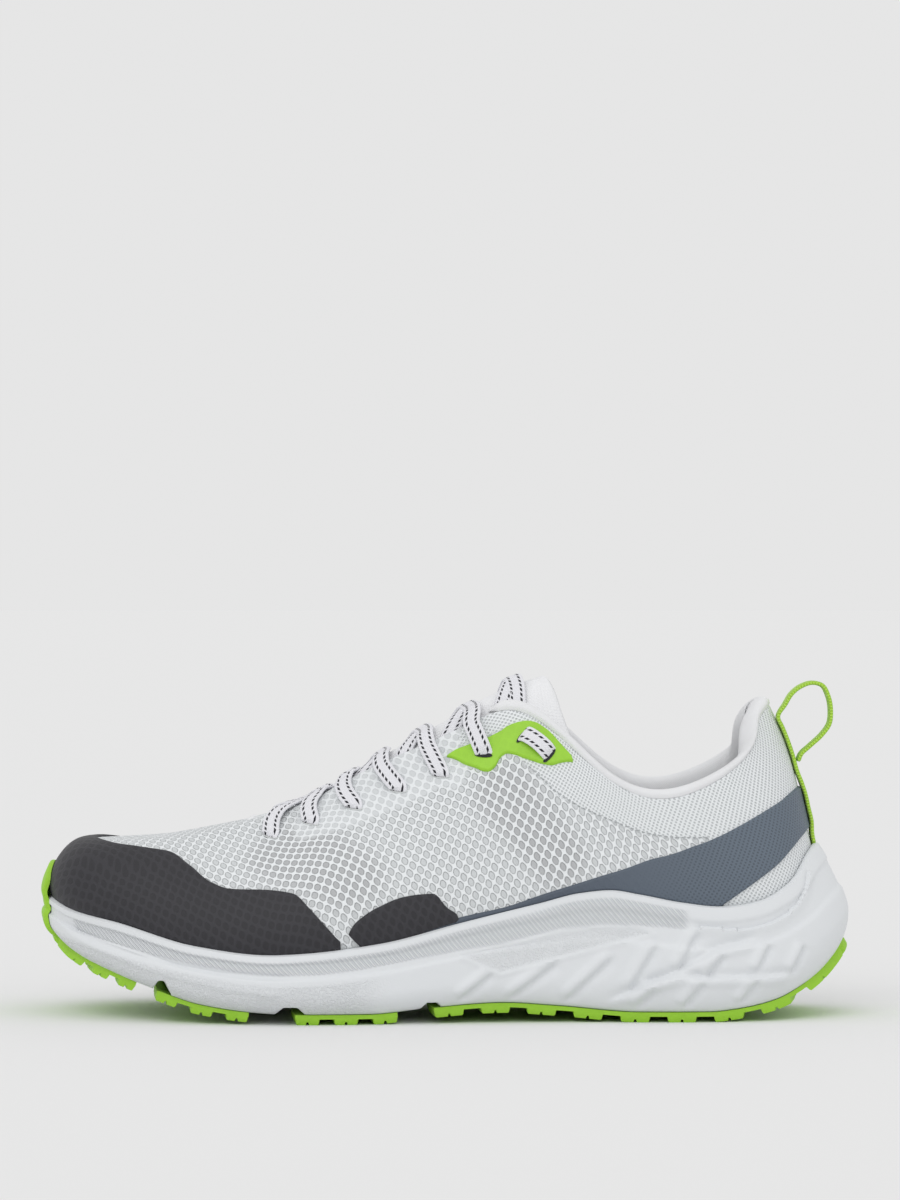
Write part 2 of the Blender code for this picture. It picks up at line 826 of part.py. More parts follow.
def side_point(station, up):
    """A point of the midsole's side at a share of its height, and outwards."""
    column = np.array(midsole_column(station)[: len(STEPS)])
    places = [step[0] for step in STEPS]
    point = np.array([np.interp(up, places, column[:, k]) for k in range(3)])
    return point, plan([station])[1][0]


def rib_ring(station, share, side):
    """Section of a channel cutter: narrow inside, wide outside."""
    at = station if side > 0 else COLUMNS - station
    point, out = side_point(at, share)
    along = np.array([-out[1], out[0], 0.0])
    depth, reach = out * RIB_DEPTH, out * RIB_DEPTH * 3
    narrow, wide = along * RIB_WIDTH * 0.25, along * RIB_WIDTH * 0.9
    return [point - depth - narrow, point - depth + narrow, point + reach + wide, point + reach - wide]


def build_insole():
    """The insole, lying on the midsole inside the upper."""
    stations = both_sides(round_stations())
    inset = np.array([feather_inset(s)[0] for s in stations]) + WALL + INSOLE_PLAY
    loop, _ = plan(stations, inset)
    points, faces = [], []
    for top in (GAP + INSOLE_LIFT, GAP + INSOLE):
        loop[:, 2] = footbed(loop[:, 0]) + top
        inner, closing = ladder(loop, lambda x: float(footbed(x)) + top, SOLE_CELLS)
        faces += [tuple(v + len(points) for v in face) for face in closing]
        points += list(loop) + inner
    half, count = len(points) // 2, len(loop)
    for j in range(count):
        k = (j + 1) % count
        faces.append((j, k, k + half, j + half))
    return piece("insole", points, faces, "foam_grey")


def tread_point(x, y, depth, play=0.0):
    """A point under the midsole, at a depth off its underside.

    Play is added where the underside curves, so that straight facets clear it.
    """
    step = 1e-4
    slope = float(underside(x + step) - underside(x - step)) / (2 * step)
    down = np.array([slope, 0.0, -1.0]) / math.hypot(slope, 1.0)
    depth = depth + play * min(1.0, 6 * slope * slope)
    return np.array([x, y, float(underside(x))]) + down * depth


TREAD_SIDE = plan(np.linspace(0, LAST_STATION, 221), TREAD_INSET)[0]
TREAD_INNER = plan(COLUMNS - np.linspace(0, LAST_STATION, 221), TREAD_INSET)[0]


def tread_edges(x):
    """Lateral and medial edges of the tread at a place along the shoe."""
    lateral = np.interp(x, TREAD_SIDE[::-1, 0], TREAD_SIDE[::-1, 1])
    medial = np.interp(x, TREAD_INNER[::-1, 0], TREAD_INNER[::-1, 1])
    return lateral, medial


def pad_rungs(front, rear, rows, front_bow, rear_bow):
    """Rows of a pad's points against the midsole and of those on its underside."""
    runs = [0.0]
    for i in range(rows):
        runs.append((i + LUG_FILL) / (rows - 1 + LUG_FILL))
        if i < rows - 1:
            runs.append((i + 1) / (rows - 1 + LUG_FILL))
    top, bottom = [], []
    for run in runs:
        x = LENGTH * (0.5 - front - (rear - front) * run)
        bow = front_bow + (rear_bow - front_bow) * run
        lateral, medial = tread_edges(x)
        middle, half = (lateral + medial) / 2, (medial - lateral) / 2
        places = [(x + bow * (1 - c * c), middle + half * c) for c in LUG_ACROSS]
        top.append([tread_point(a, b, GAP, PAD_PLAY) for a, b in places])
        bottom.append([tread_point(a, b, GAP + RUBBER) for a, b in places])
    return top, bottom


def bumper_rungs():
    """Rows of the tab that turns up in front of the toe, as pad_rungs gives them."""
    top, bottom = [], []
    for c in LUG_ACROSS:
        station = LAST_STATION + c * BUMPER_STATIONS
        column = np.array(midsole_column(station))
        out = plan([station])[1][0]
        inner = [tread_point(*column[0][:2], OVERLAY_GAP) + out * OVERLAY_GAP]
        outer = [tread_point(*column[0][:2], GAP + RUBBER) + out * BUMPER_THICKNESS]
        for i in (1, 2, 5, 6):
            inner.append(column[i] + out * OVERLAY_GAP)
            outer.append(inner[-1] + out * BUMPER_THICKNESS)
        low = rim_share(station, LIP_ROUND + 0.002)
        for f in np.linspace(0, 1, 3):
            share = low + (bumper_share(station) - low) * f
            normal = wall_normals([station], [share])[0, 0]
            off = LIP + GAP + (OVERLAY_GAP + GAP + OVERLAY - LIP - GAP) * f
            inner.append(wall([station], [share])[0, 0] + normal * off)
            outer.append(inner[-1] + normal * BUMPER_THICKNESS)
        top.append(inner[::-1])
        bottom.append(outer[::-1])
    return np.swapaxes(top, 0, 1).tolist(), np.swapaxes(bottom, 0, 1).tolist()


def build_outsole(name, *run):
    """A rubber pad with rows of lugs. The toe's pad turns up into its bumper."""
    top, bottom = pad_rungs(*run)
    nose = 0
    if name == "outsole_toe":
        nose_top, nose_bottom = bumper_rungs()
        nose = len(nose_top)
        top, bottom = nose_top + top, nose_bottom + bottom
    rows, columns = len(top), len(LUG_ACROSS)
    size = rows * columns
    faces = grid_faces(rows, columns)
    lower = [tuple(v + size for v in face) for face in faces]
    walk = [i * columns for i in range(rows)]
    walk += [size - columns + j for j in range(1, columns)]
    walk += [i * columns + columns - 1 for i in range(rows - 2, -1, -1)]
    walk += list(range(columns - 2, 0, -1))
    sides = [(a, b, b + size, a + size) for a, b in zip(walk, walk[1:] + walk[:1])]
    points = [p for row in list(top) + list(bottom) for p in row]
    made = piece(name, points, faces + lower + sides, "rubber_lime")
    raise_lugs(made, len(faces), columns - 1, range(nose, rows - 1, 2))
    return made


def raise_lugs(pad, first, across, rungs):
    """Extrudes every second cell of the pad's underside to a lug."""
    work = bmesh.new()
    work.from_mesh(pad.data)
    work.faces.ensure_lookup_table()
    lugs = []
    for i in rungs:
        lugs += [work.faces[first + i * across + j] for j in range(0, across, 2)]
    for face in bmesh.ops.extrude_discrete_faces(work, faces=lugs)["faces"]:
        for vertex in face.verts:
            x, y, z = vertex.co
            vertex.co = tread_point(foot_of(x, z), y, GAP + RUBBER + LUG)
    bmesh.ops.recalc_face_normals(work, faces=work.faces)
    work.to_mesh(pad.data)
    work.free()


def foot_of(x, z):
    """Place on the underside whose pad point is the one given."""
    places = x + np.linspace(-0.003, 0.003, 121)
    found = np.array([tread_point(p, 0.0, GAP + RUBBER) for p in places])
    return float(places[np.argmin(np.hypot(found[:, 0] - x, found[:, 2] - z))])


def bumper_share(station):
    """Share of the column where the bumper ends, lower at its sides."""
    fall = BUMPER_FALL * ((station - LAST_STATION) / BUMPER_STATIONS) ** 2
    return rim_share(station, BUMPER_HEIGHT - float(rim(-LENGTH / 2)) - fall)


def overlay(name, rows, cells, finish, side=1, through=False):
    """A film on the upper between a low and a high share of its columns.

    A side of -1 is the medial one, and a film that goes through is on both.
    """
    table = [(r[0], 0.0 if r[1] is None else r[1], r[2], r[1] is None) for r in rows]
    stations = round_stations(rows[0][0], rows[-1][0])
    if through and rows[0][0] == 0.0:
        stations = [-s for s in stations[:0:-1]] + list(stations)
    elif through:
        stations = list(stations) + [COLUMNS - s for s in stations[-2::-1]]
    grid = []
    for station in stations:
        place = min(abs(station), COLUMNS - abs(station))
        at = station if side > 0 else COLUMNS - station
        low, high = float(ease(table, place)), float(ease(table, place, 2))
        floor = rim_share(at, LIP_ROUND + GAP + 0.0004)
        low = max(low, floor)
        shares = np.linspace(low, max(high, low + 0.03), cells + 1)
        off = OVERLAY_GAP + OVERLAY
        grid.append((wall([at], shares) + wall_normals([at], shares) * off)[0])
    return sheet(name, grid, OVERLAY, finish, (0, 0, HEEL_HEIGHT * 0.4))


def build_collar():
    """The padded roll on the collar's edge, with its lining inside."""
    side = round_stations(0.0, COLLAR_END)
    stations = [-s for s in side[:0:-1]] + list(side)
    rings = []
    for station in stations:
        thin = smooth((abs(station) - PAD_END) / (BEAD_START - PAD_END))
        ring = []
        for pad_out, pad_up, bead_out, bead_up in ROLL:
            out = pad_out + (bead_out - pad_out) * thin
            up = pad_up + (bead_up - pad_up) * thin
            ring.append(wall_point(station, up, out))
        rings.append(ring)
    return loft("collar_lining", rings, "lining_white")


def build_tongue():
    """The padded tongue, tucked under the vamp and both edges of the throat."""
    tip = np.linspace(TONGUE_FRONT + 0.15, COLUMNS - TONGUE_FRONT - 0.15, 13)
    under = -tongue_depth(LAST_STATION)
    grid = [[wall_point(s, -f * TONGUE_TUCK, under) for s in tip] for f in (0.9, 0.4)]
    for station in np.linspace(TONGUE_FRONT, TONGUE_REAR, 10):
        under, far = -tongue_depth(station), COLUMNS - station
        rung = [wall_point(station, -f * TONGUE_TUCK, under) for f in (1.0, 0.5, 0.08)]
        rung += [bridge(station, c) for c in np.linspace(-0.84, 0.84, 7)]
        rung += [wall_point(far, -f * TONGUE_TUCK, under) for f in (0.08, 0.5, 1.0)]
        grid.append(rung)
    last = np.array(grid[-1])
    middle = last.mean(axis=0)
    for f in (0.5, 1.0):
        narrow = 1 - np.array([0.0, TONGUE_NARROW * f, 0.0])
        grid.append((last - middle) * narrow + middle + np.array(TONGUE_RISE) * f)
    return sheet("tongue", grid, TONGUE_PAD, "lining_white", (0, 0, 0.02))


def band(name, path, width, thickness, finish):
    """A flat band along points that each come with their outward direction."""
    points = np.array([p for p, _ in path])
    ahead = np.gradient(points, axis=0)
    rings = []
    for (point, out), along in zip(path, ahead):
        wide = np.cross(along, out)
        wide *= width / 2 / np.linalg.norm(wide)
        out = np.cross(wide, along)
        out *= thickness / 2 / np.linalg.norm(out)
        rings.append([point - wide - out, point + wide - out, point + wide + out, point - wide + out])
    return loft(name, rings, finish)


def lace_off(station, across, reach):
    """How far a lace's middle lies off the tongue, rising over the wall's edge."""
    low = GAP * 2 + LACE_THICKNESS / 2
    over = tongue_depth(station) + GAP + LACE_THICKNESS / 2
    return low + (over - low) * smooth((reach - 0.40) / 0.35)


def stacked(side, across):
    """Rise of the upper one of two laces where they cross."""
    return LACE_THICKNESS * 0.5 * smooth(1 - abs(across) / 0.6) * (side < 0)


def lace_path(start, end, side, whole):
    """A lace over the tongue to an eyelet, from one edge or from an eyelet.

    start and end are rows of EYELETS, and side is -1 for an end on the lateral side.
    """
    path = eyelet_run(start, -side)[::-1] if whole else []
    first = start[2] if whole else start[2] - LACE_START
    for c in np.linspace(-0.86 if whole else -0.62, 0.86, 7):
        station = first + (end[2] - first) * (c + 1) / 2
        reach = 1.0 if whole else c
        off = lace_off(station, c, reach) + (0.0 if whole else stacked(side, c))
        path.append(over_tongue(station, c * side, off))
    return path + eyelet_run(end, side)


def eyelet_run(eyelet, side):
    """The stretch of lace from the throat's edge down to an eyelet."""
    station, down, edge = eyelet
    over = GAP + LACE_THICKNESS / 2
    if station < EYESTAY[-1][0]:
        over += OVERLAY_GAP + OVERLAY
    run = []
    for f in (0.15, 0.55, 1.0):
        at = station + (edge - station) * (1 - f)
        at = at if side < 0 else COLUMNS - at
        point, out, _ = wall_frame(at, -down * f)
        run.append((point + out * (over + LACE_ARCH * 4 * f * (1 - f)), out))
    return run


def lace(name, path):
    """A flat lace along a path."""
    return band(name, path, LACE_WIDTH, LACE_THICKNESS, "lace_white")


def build_laces():
    """The lace's bar at the toe end, its crossings and the bars at the top."""
    lace("lace_bar", lace_path(EYELETS[0], EYELETS[0], 1, True))
    for i in range(5):
        name = f"lace_crossing_{i + 1}"
        pair = [lace(name, lace_path(EYELETS[i], EYELETS[i + 1], side, False)) for side in (-1, 1)]
        combined(pair[0], pair[1], "UNION").name = name
    pair = []
    for side in (-1, 1):
        path = []
        for c in np.linspace(-0.76, 0.76, 6):
            station = TOP_CROSSING[0] + (TOP_CROSSING[1] - TOP_CROSSING[0]) * (c + 1) / 2
            off = lace_off(station, c, 0.0) + stacked(side, c)
            path.append(over_tongue(station, c * side, off))
        pair.append(lace("lace_crossing_6", path))
    combined(pair[0], pair[1], "UNION").name = "lace_crossing_6"
    for name, side in (("lace_bar_lateral", -1), ("lace_bar_medial", 1)):
        path = []
        for f in np.linspace(0, 1, 4):
            station, down, _ = np.array(EYELETS[6]) * (1 - f) + np.array(EYELETS[7]) * f
            at = station if side < 0 else COLUMNS - station
            point, out, _ = wall_frame(at, -down)
            path.append((point + out * (OVERLAY_GAP + OVERLAY + GAP + LACE_THICKNESS / 2), out))
        lace(name, path)


def build_pull_loop():
    """The webbing up the heel and the loop that it ends in."""
    off = OVERLAY_GAP + OVERLAY + GAP + LOOP_THICKNESS / 2
    leg = []
    low = rim_share(0.0, LIP_ROUND + 0.001)
    for share in np.linspace(low, LOOP_TOP, 7):
        out = wall_normals([0.0], [share])[0, 0]
        leg.append((wall([0.0], [share])[0, 0] + out * off, out))
    strap = band("pull_loop", leg, LOOP_WIDTH, LOOP_THICKNESS, "webbing_lime")
    top, foot = leg[-2], leg[3]
    places = [foot[0] + np.array([LOOP_REACH * o, 0.0, LOOP_HEIGHT * u]) for o, u in PULL_LOOP]
    centre = foot[0] + np.array([LOOP_REACH * 0.5, 0.0, LOOP_HEIGHT * 0.65])
    path = [top] + [(place, centre - place) for place in places]
    ring = band("loop_ring", path, LOOP_WIDTH, LOOP_THICKNESS, "webbing_lime")
    combined(strap, ring, "UNION")
    return strap


def main():
    for old in list(bpy.data.objects):
        bpy.data.objects.remove(old)
    shoe = bpy.data.collections.new("trail_running_shoe")
    bpy.context.scene.collection.children.link(shoe)
    build_upper()
    build_midsole()
    build_insole()
    for pad in OUTSOLE:
        build_outsole(*pad)
    build_collar()
    build_tongue()
    overlay("toe_cap", TOE_CAP, 6, "film_charcoal", through=True)
    overlay("heel_band", HEEL_BAND, 3, "film_slate", through=True)
    overlay("saddle_lateral", SADDLE, 3, "film_charcoal")
    overlay("saddle_medial", SADDLE, 3, "film_charcoal", side=-1)
    overlay("eyestay_lateral", EYESTAY, 3, "film_lime")
    overlay("eyestay_medial", EYESTAY, 3, "film_lime", side=-1)
    build_laces()
    build_pull_loop()


main()
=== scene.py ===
"""The looks of the trail running shoe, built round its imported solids.

Each soft or moulded solid is replaced by a fine surface that follows the same
tables and functions as the part's own source, so both keep one form. The toe
points to -X, the lateral side to -Y and up is +Z. All sizes are in metres, and
the cloth coordinates (UV) of every piece are in millimetres.
"""

import math

import bmesh
import bpy
import numpy as np
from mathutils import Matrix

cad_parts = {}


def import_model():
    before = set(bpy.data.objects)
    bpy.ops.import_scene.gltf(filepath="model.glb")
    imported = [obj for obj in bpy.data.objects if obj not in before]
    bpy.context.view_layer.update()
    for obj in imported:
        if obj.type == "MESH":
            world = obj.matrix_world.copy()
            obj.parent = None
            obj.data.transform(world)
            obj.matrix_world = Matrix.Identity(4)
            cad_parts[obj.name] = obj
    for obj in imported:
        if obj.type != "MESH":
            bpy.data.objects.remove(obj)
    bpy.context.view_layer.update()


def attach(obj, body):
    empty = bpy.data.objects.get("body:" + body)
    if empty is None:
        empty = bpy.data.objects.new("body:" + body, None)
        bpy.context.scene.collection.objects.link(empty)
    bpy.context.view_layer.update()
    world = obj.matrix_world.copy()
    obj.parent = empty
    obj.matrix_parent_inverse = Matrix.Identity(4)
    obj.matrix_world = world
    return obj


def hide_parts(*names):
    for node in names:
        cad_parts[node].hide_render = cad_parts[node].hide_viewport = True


# Driving sizes, as in the part's source
LENGTH = 0.300
BALL_WIDTH = 0.108
HEEL_HEIGHT = 0.1185
HEEL_STACK = 0.031
BALL_STACK = 0.0205
CUP_HEIGHT = 0.0035
RUBBER = 0.0013
CUP_PLAY = 0.0006
LUG = 0.0021
TREAD_INSET = 0.0036
LUG_FILL = 0.64
LUG_ACROSS = (-1.00, -0.64, -0.50, -0.09, 0.09, 0.50, 0.64, 1.00)
BUMPER_HEIGHT = 0.0565
BUMPER_THICKNESS = 0.0016
BUMPER_STATIONS = 0.42
BUMPER_FALL = 0.006
LIP = 0.0022
LIP_ROUND = 0.0006
EDGE_ROUND = 0.0045
GROOVE_DEPTH = 0.0026
GROOVE_SLANT = 0.12
TOE_RISE = 0.0185
WALL = 0.0020
FEATHER_LIFT = 0.0004
TONGUE_PAD = 0.0050
TONGUE_TUCK = 0.0140
TONGUE_PLAY = 0.0006
TONGUE_DIP = 0.0027
TONGUE_RISE = (0.0075, 0.0, 0.0010)
TONGUE_NARROW = 0.12
INSOLE = 0.0040
INSOLE_PLAY = 0.0016
INSOLE_LIFT = 0.0005
LACE_ARCH = 0.0010
LOOP_WIDTH = 0.0100
LOOP_THICKNESS = 0.0016
CROWN = 1.2
CROWN_REAR = 0.75
GAP = 0.0003
TREAD = GAP + RUBBER + LUG
LAST_STATION = 11
COLUMNS = 2 * LAST_STATION
PAD_END = 3.70
BEAD_START = 4.60
COLLAR_END = 5.60
TONGUE_FRONT = 10.20
TONGUE_REAR = 5.05
LACE_START = 0.22
TOP_CROSSING = (5.45, 5.15)
LOOP_TOP = 0.93

# Sizes of the looks alone, the lace's own size among them
TREAD_TOP = 0.00003
LACE_WIDTH = 0.0066
LACE_THICKNESS = 0.0013
LUG_DRAFT = 0.00045
LUG_BEVEL = 0.0003
SIPE_LEAST = 0.0060
SIPE = (-0.0006, -0.0003, 0.0003, 0.0006)
FILM_OVER = 0.0013
TONGUE_SWEEP = (0.0150, 0.0, -0.0100)
TIP_SINK = 0.0024
TONGUE_ROWS = 150
TONGUE_COLUMNS = 72
TONGUE_LIFT = (-0.0005, 0.0, 0.0012)
THROAT_WALL = 0.0010
LACE_HIDDEN = 0.0008
LACE_FOLD = 0.55
EYELET_LENGTH = 0.0035
EYELET_HEIGHT = 0.0010
FILM_HEIGHT = 0.0011
SEAM_STEP = 1e-6
INSIDE = (0, 0, 0.05)
PATCH_REACH = 0.1
STITCH_PITCH = 0.0021
STITCH_LENGTH = 0.0013
STITCH_RADIUS = 0.00022
STITCH_OFF = 0.0001
FILM_EDGE = 0.0011

# How finely the pieces are drawn: places round the shoe, and steps along a strip
UPPER_PLACES = 660
MIDSOLE_PLACES = 960
INSOLE_PLACES = 360
LACE_STEP = 0.0009
LOOP_STEP = 0.0008

# Photo: 900 by 1200 pixels, seen level from the lateral side
CAMERA_PLACE = (0.0022, -1.6, 0.153)
FOCAL_PIXELS = 4309.0
FRAME_PIXELS = 1200.0
SENSOR = 36.0

# The room: grey round the shoe, its floor and two suns
SURROUND = (0.79, 0.79, 0.79)
FLOOR = (0.835, 0.835, 0.835)
LIGHTS = (
    # name, turn about X Y Z in degrees, angle across, power
    ("key_light", (42, -22, 0), 40, 0.55),
    ("fill_light", (35, 35, 0), 70, 0.20),
)

# Weave of the upper's mesh in millimetres
EYE_ACROSS = 4.04
EYE_TALL = 5.49
RIB = 1.4
PIT = 1.9
LEAN = 0.366
TILT = -0.133

# Relief under the films, hatching of the midsole and dashes of the lace, in millimetres
# How much a film is painted darker in its relief's hollows, 0 to 1: painted shade.
RELIEF_SHADE = 0.9
HATCH_PITCH = 1.85
HATCH_SLANT = -0.85
DASH_PITCH = 2.3
DASH_LONG = 1.45
DASH_WIDE = 0.85
DASH_ROW = 0.27
DASH_LEAN = 1.0

# The loops of the upper, seen as sections from heel to toe. x is a share of the
# length from the heel, y a share of the ball width, z a share of the heel height.
# Each table has the same twelve sections: heel tip, heel corner, heel side, collar
# low, waist, eyestay top, midfoot, ball rear, ball, forefoot, toe corner, toe tip.
SIDE = (
    # x, lateral y, medial y, z
    (0.040, 0.000, 0.000, 0.422), (0.063, -0.181, 0.181, 0.397), (0.115, -0.306, 0.306, 0.388),
    (0.207, -0.356, 0.352, 0.371), (0.307, -0.361, 0.333, 0.380), (0.417, -0.375, 0.315, 0.371),
    (0.530, -0.426, 0.343, 0.321), (0.650, -0.472, 0.407, 0.270), (0.763, -0.444, 0.449, 0.262),
    (0.867, -0.352, 0.426, 0.295), (0.957, -0.185, 0.296, 0.371), (0.987, 0.065, 0.065, 0.405),
)
FLANK = (
    # x, lateral y, medial y, z
    (0.052, 0.000, 0.000, 0.591), (0.070, -0.167, 0.167, 0.574), (0.120, -0.287, 0.287, 0.540),
    (0.210, -0.343, 0.338, 0.481), (0.307, -0.343, 0.329, 0.532), (0.413, -0.333, 0.319, 0.591),
    (0.520, -0.366, 0.352, 0.515), (0.643, -0.398, 0.389, 0.447), (0.757, -0.366, 0.389, 0.422),
    (0.853, -0.292, 0.352, 0.456), (0.930, -0.157, 0.250, 0.511), (0.957, 0.056, 0.056, 0.530),
)
SHOULDER = (
    # x, lateral y, medial y, z
    (0.072, 0.000, 0.000, 0.802), (0.092, -0.139, 0.139, 0.785), (0.133, -0.245, 0.245, 0.709),
    (0.213, -0.315, 0.315, 0.591), (0.307, -0.306, 0.306, 0.675), (0.407, -0.264, 0.273, 0.802),
    (0.500, -0.259, 0.287, 0.717), (0.620, -0.241, 0.278, 0.624), (0.720, -0.213, 0.250, 0.557),
    (0.793, -0.157, 0.204, 0.557), (0.833, -0.093, 0.157, 0.557), (0.885, 0.037, 0.037, 0.545),
)
EDGE = (
    # x, lateral y, medial y, z, medial z where it differs
    (0.097, 0.000, 0.000, 0.960), (0.112, -0.106, 0.106, 0.916, 0.934),
    (0.132, -0.215, 0.215, 0.802, 0.820), (0.217, -0.287, 0.287, 0.682, 0.700),
    (0.307, -0.272, 0.276, 0.751, 0.768), (0.400, -0.190, 0.204, 0.937, 0.945),
    (0.483, -0.157, 0.181, 0.890), (0.587, -0.130, 0.157, 0.772), (0.653, -0.116, 0.139, 0.684),
    (0.700, -0.088, 0.106, 0.635), (0.720, -0.042, 0.060, 0.620), (0.725, 0.009, 0.009, 0.616),
)

# The sole's outline seen from above, and how far the upper's lower edge lies in.
PLAN = (
    # x, lateral y, medial y, inset of the upper
    (0.004, 0.000, 0.000, 0.0150), (0.035, -0.222, 0.222, 0.0120), (0.110, -0.356, 0.356, 0.0100),
    (0.205, -0.403, 0.394, 0.0090), (0.305, -0.398, 0.361, 0.0085), (0.415, -0.407, 0.333, 0.0085),
    (0.530, -0.454, 0.361, 0.0080), (0.645, -0.500, 0.431, 0.0075), (0.755, -0.477, 0.500, 0.0075),
    (0.860, -0.380, 0.477, 0.0070), (0.955, -0.185, 0.343, 0.0070), (0.990, 0.074, 0.074, 0.0080),
)

# The top of the midsole's side. x as above, z a share of the heel height.
RIM = (
    # x, z
    (0.043, 0.534), (0.050, 0.522), (0.058, 0.500), (0.075, 0.437), (0.092, 0.400), (0.115, 0.368),
    (0.140, 0.354), (0.167, 0.349), (0.213, 0.362), (0.262, 0.386), (0.299, 0.400), (0.336, 0.391),
    (0.384, 0.361), (0.481, 0.302), (0.577, 0.242), (0.673, 0.212), (0.709, 0.208), (0.796, 0.232),
    (0.893, 0.298), (0.947, 0.327), (0.987, 0.367),
)

# The midsole's underside: height over the tread as a share of the heel height.
# Two stretches lie on the tread itself, and the shoe stands on them.
UNDERSIDE = (
    # x, z
    (0.000, 0.272), (0.008, 0.214), (0.034, 0.133), (0.063, 0.077), (0.100, 0.032), (0.140, 0.010),
    (0.180, 0.000), (0.262, 0.000), (0.360, 0.019), (0.430, 0.030), (0.520, 0.016), (0.590, 0.000),
    (0.680, 0.000), (0.730, 0.006), (0.793, 0.027), (0.843, 0.064), (0.897, 0.112), (0.950, 0.170),
    (0.978, 0.232), (0.993, 0.300),
)

# The belly of the midsole's side, where it is widest.
BELLY = (
    # x, z
    (0.000, 0.338), (0.035, 0.262), (0.110, 0.165), (0.220, 0.125), (0.420, 0.125), (0.640, 0.095),
    (0.760, 0.105), (0.860, 0.160), (0.955, 0.255), (0.993, 0.330),
)

# Steps of the midsole's side: share of the way up, and how far it stands out.
STEPS = (
    # share up, out
    (0.00, 0.0000), (0.30, 0.0012), (0.58, 0.0012), (0.63, 0.0002), (0.84, 0.0000), (0.88, 0.0007),
    (1.00, 0.0004),
)

# Flex grooves across the sole: middle and half width as shares of the length.
GROOVES = (
    # x, half width
    (0.858, 0.011), (0.705, 0.024), (0.533, 0.019),
)

# The outsole's rubber pads, from front to rear, and how far their rungs bow.
OUTSOLE = (
    # name, front, rear, rows of lugs, bow at the front, bow at the rear
    ("outsole_toe", 0.957, 0.872, 3, -0.0070, -0.0030),
    ("outsole_forefoot", 0.846, 0.734, 3, -0.0030, -0.0030),
    ("outsole_ball", 0.678, 0.556, 3, -0.0030, -0.0030),
    ("outsole_heel", 0.512, 0.026, 9, -0.0030, 0.0050),
)

# Overlays on the upper: share of the column where each stretch starts and ends.
# None is the top of the midsole's side.
TOE_CAP = (
    # station, low, high
    (6.78, None, 0.20), (6.90, None, 0.28), (7.10, None, 0.38), (7.30, None, 0.45),
    (7.65, None, 0.475), (8.00, None, 0.480), (8.25, None, 0.505), (8.60, None, 0.568),
    (9.05, None, 0.616), (9.50, None, 0.600), (10.0, None, 0.580), (11.0, None, 0.620),
)
SADDLE = (
    (5.58, None, 0.23), (5.70, None, 0.27), (5.88, None, 0.346), (6.20, None, 0.362),
    (6.45, None, 0.340), (6.62, None, 0.300), (6.70, None, 0.26),
)

# Lateral eyelets: station, and distance down the wall from the throat's edge.
EYELETS = (
    # station, down, station where the lace passes the edge
    (7.93, 0.0253, 9.30), (7.43, 0.0213, 8.50), (6.95, 0.0188, 7.85), (6.52, 0.0168, 7.20),
    (6.08, 0.0171, 6.60), (5.52, 0.0165, 6.05), (5.00, 0.0085, 5.00), (4.65, 0.0095, 4.65),
)

# Section of the collar's roll: out from the wall and up from its edge, in the
# padded part and where it thins to a bead along the eyestay.
ROLL = (
    # padded out, padded up, bead out, bead up
    (0.0000, 0.0004, 0.0000, 0.0004), (0.0007, 0.0020, 0.0010, 0.0020),
    (-0.0003, 0.0038, 0.0004, 0.0042), (-0.0032, 0.0046, -0.0014, 0.0054),
    (-0.0068, 0.0024, -0.0034, 0.0048), (-0.0088, -0.0040, -0.0044, 0.0016),
    (-0.0082, -0.0130, -0.0046, -0.0006), (-0.0036, -0.0320, -0.0034, -0.0040),
    (-0.0027, -0.0320, -0.0027, -0.0040), (-0.0029, -0.0215, -0.0028, -0.0027),
    (-0.0029, -0.0105, -0.0028, -0.0013), (-0.0026, 0.0004, -0.0026, 0.0004),
)

ROLL_FRONT = 8
COLLAR_ROWS = 321
HEEL_SWELL = (0, 0, 0.0002, 0.0010, 0.0020, 0.0026, 0.0022, 0.0008) + (0,) * (len(ROLL) - 8)

# The pull loop, from the collar's top over and back to the heel, in millimetres.
LOOP_SHAPE = (
    # along, up
    (126.6, 114.5), (128.7, 118.0), (132.2, 120.9), (136.6, 122.3), (140.2, 121.4), (142.5, 117.3),
    (143.4, 111.7), (142.9, 107.2), (140.2, 103.2), (135.6, 98.9), (132.2, 95.6), (131.3, 93.2),
)


def spline_weights(count, params, closed):
    """Weights of a cubic spline through count points, at each parameter."""
    i = np.arange(count)
    left = np.zeros((count, count))
    right = np.zeros((count, count))
    left[i, i] = 4.0
    for step in (-1, 1):
        j = (i + step) % count
        left[i, j] += 1.0
        right[i, j] += 6.0
    right[i, i] -= 12.0
    if not closed:
        for end in (0, count - 1):
            left[end] = right[end] = 0.0
            left[end, end] = 1.0
    bend = np.linalg.solve(left, right)
    params = np.asarray(params, float)
    if closed:
        params = params % count
    low = np.floor(params).astype(int)
    low = low % count if closed else np.clip(low, 0, count - 2)
    f = (params - low)[:, None]
    high = (low + 1) % count
    unit = np.eye(count)
    start = (1 - f) * unit[low] + ((1 - f) ** 3 - (1 - f)) / 6 * bend[low]
    return start + f * unit[high] + (f**3 - f) / 6 * bend[high]


def hermite(f, start, start_pull, end, end_pull):
    """A cubic between two values that leaves and arrives by two pulls."""
    first = (1 + 2 * f) * (1 - f) ** 2 * start + f * (1 - f) ** 2 * start_pull
    return first + f**2 * (3 - 2 * f) * end - f**2 * (1 - f) * end_pull


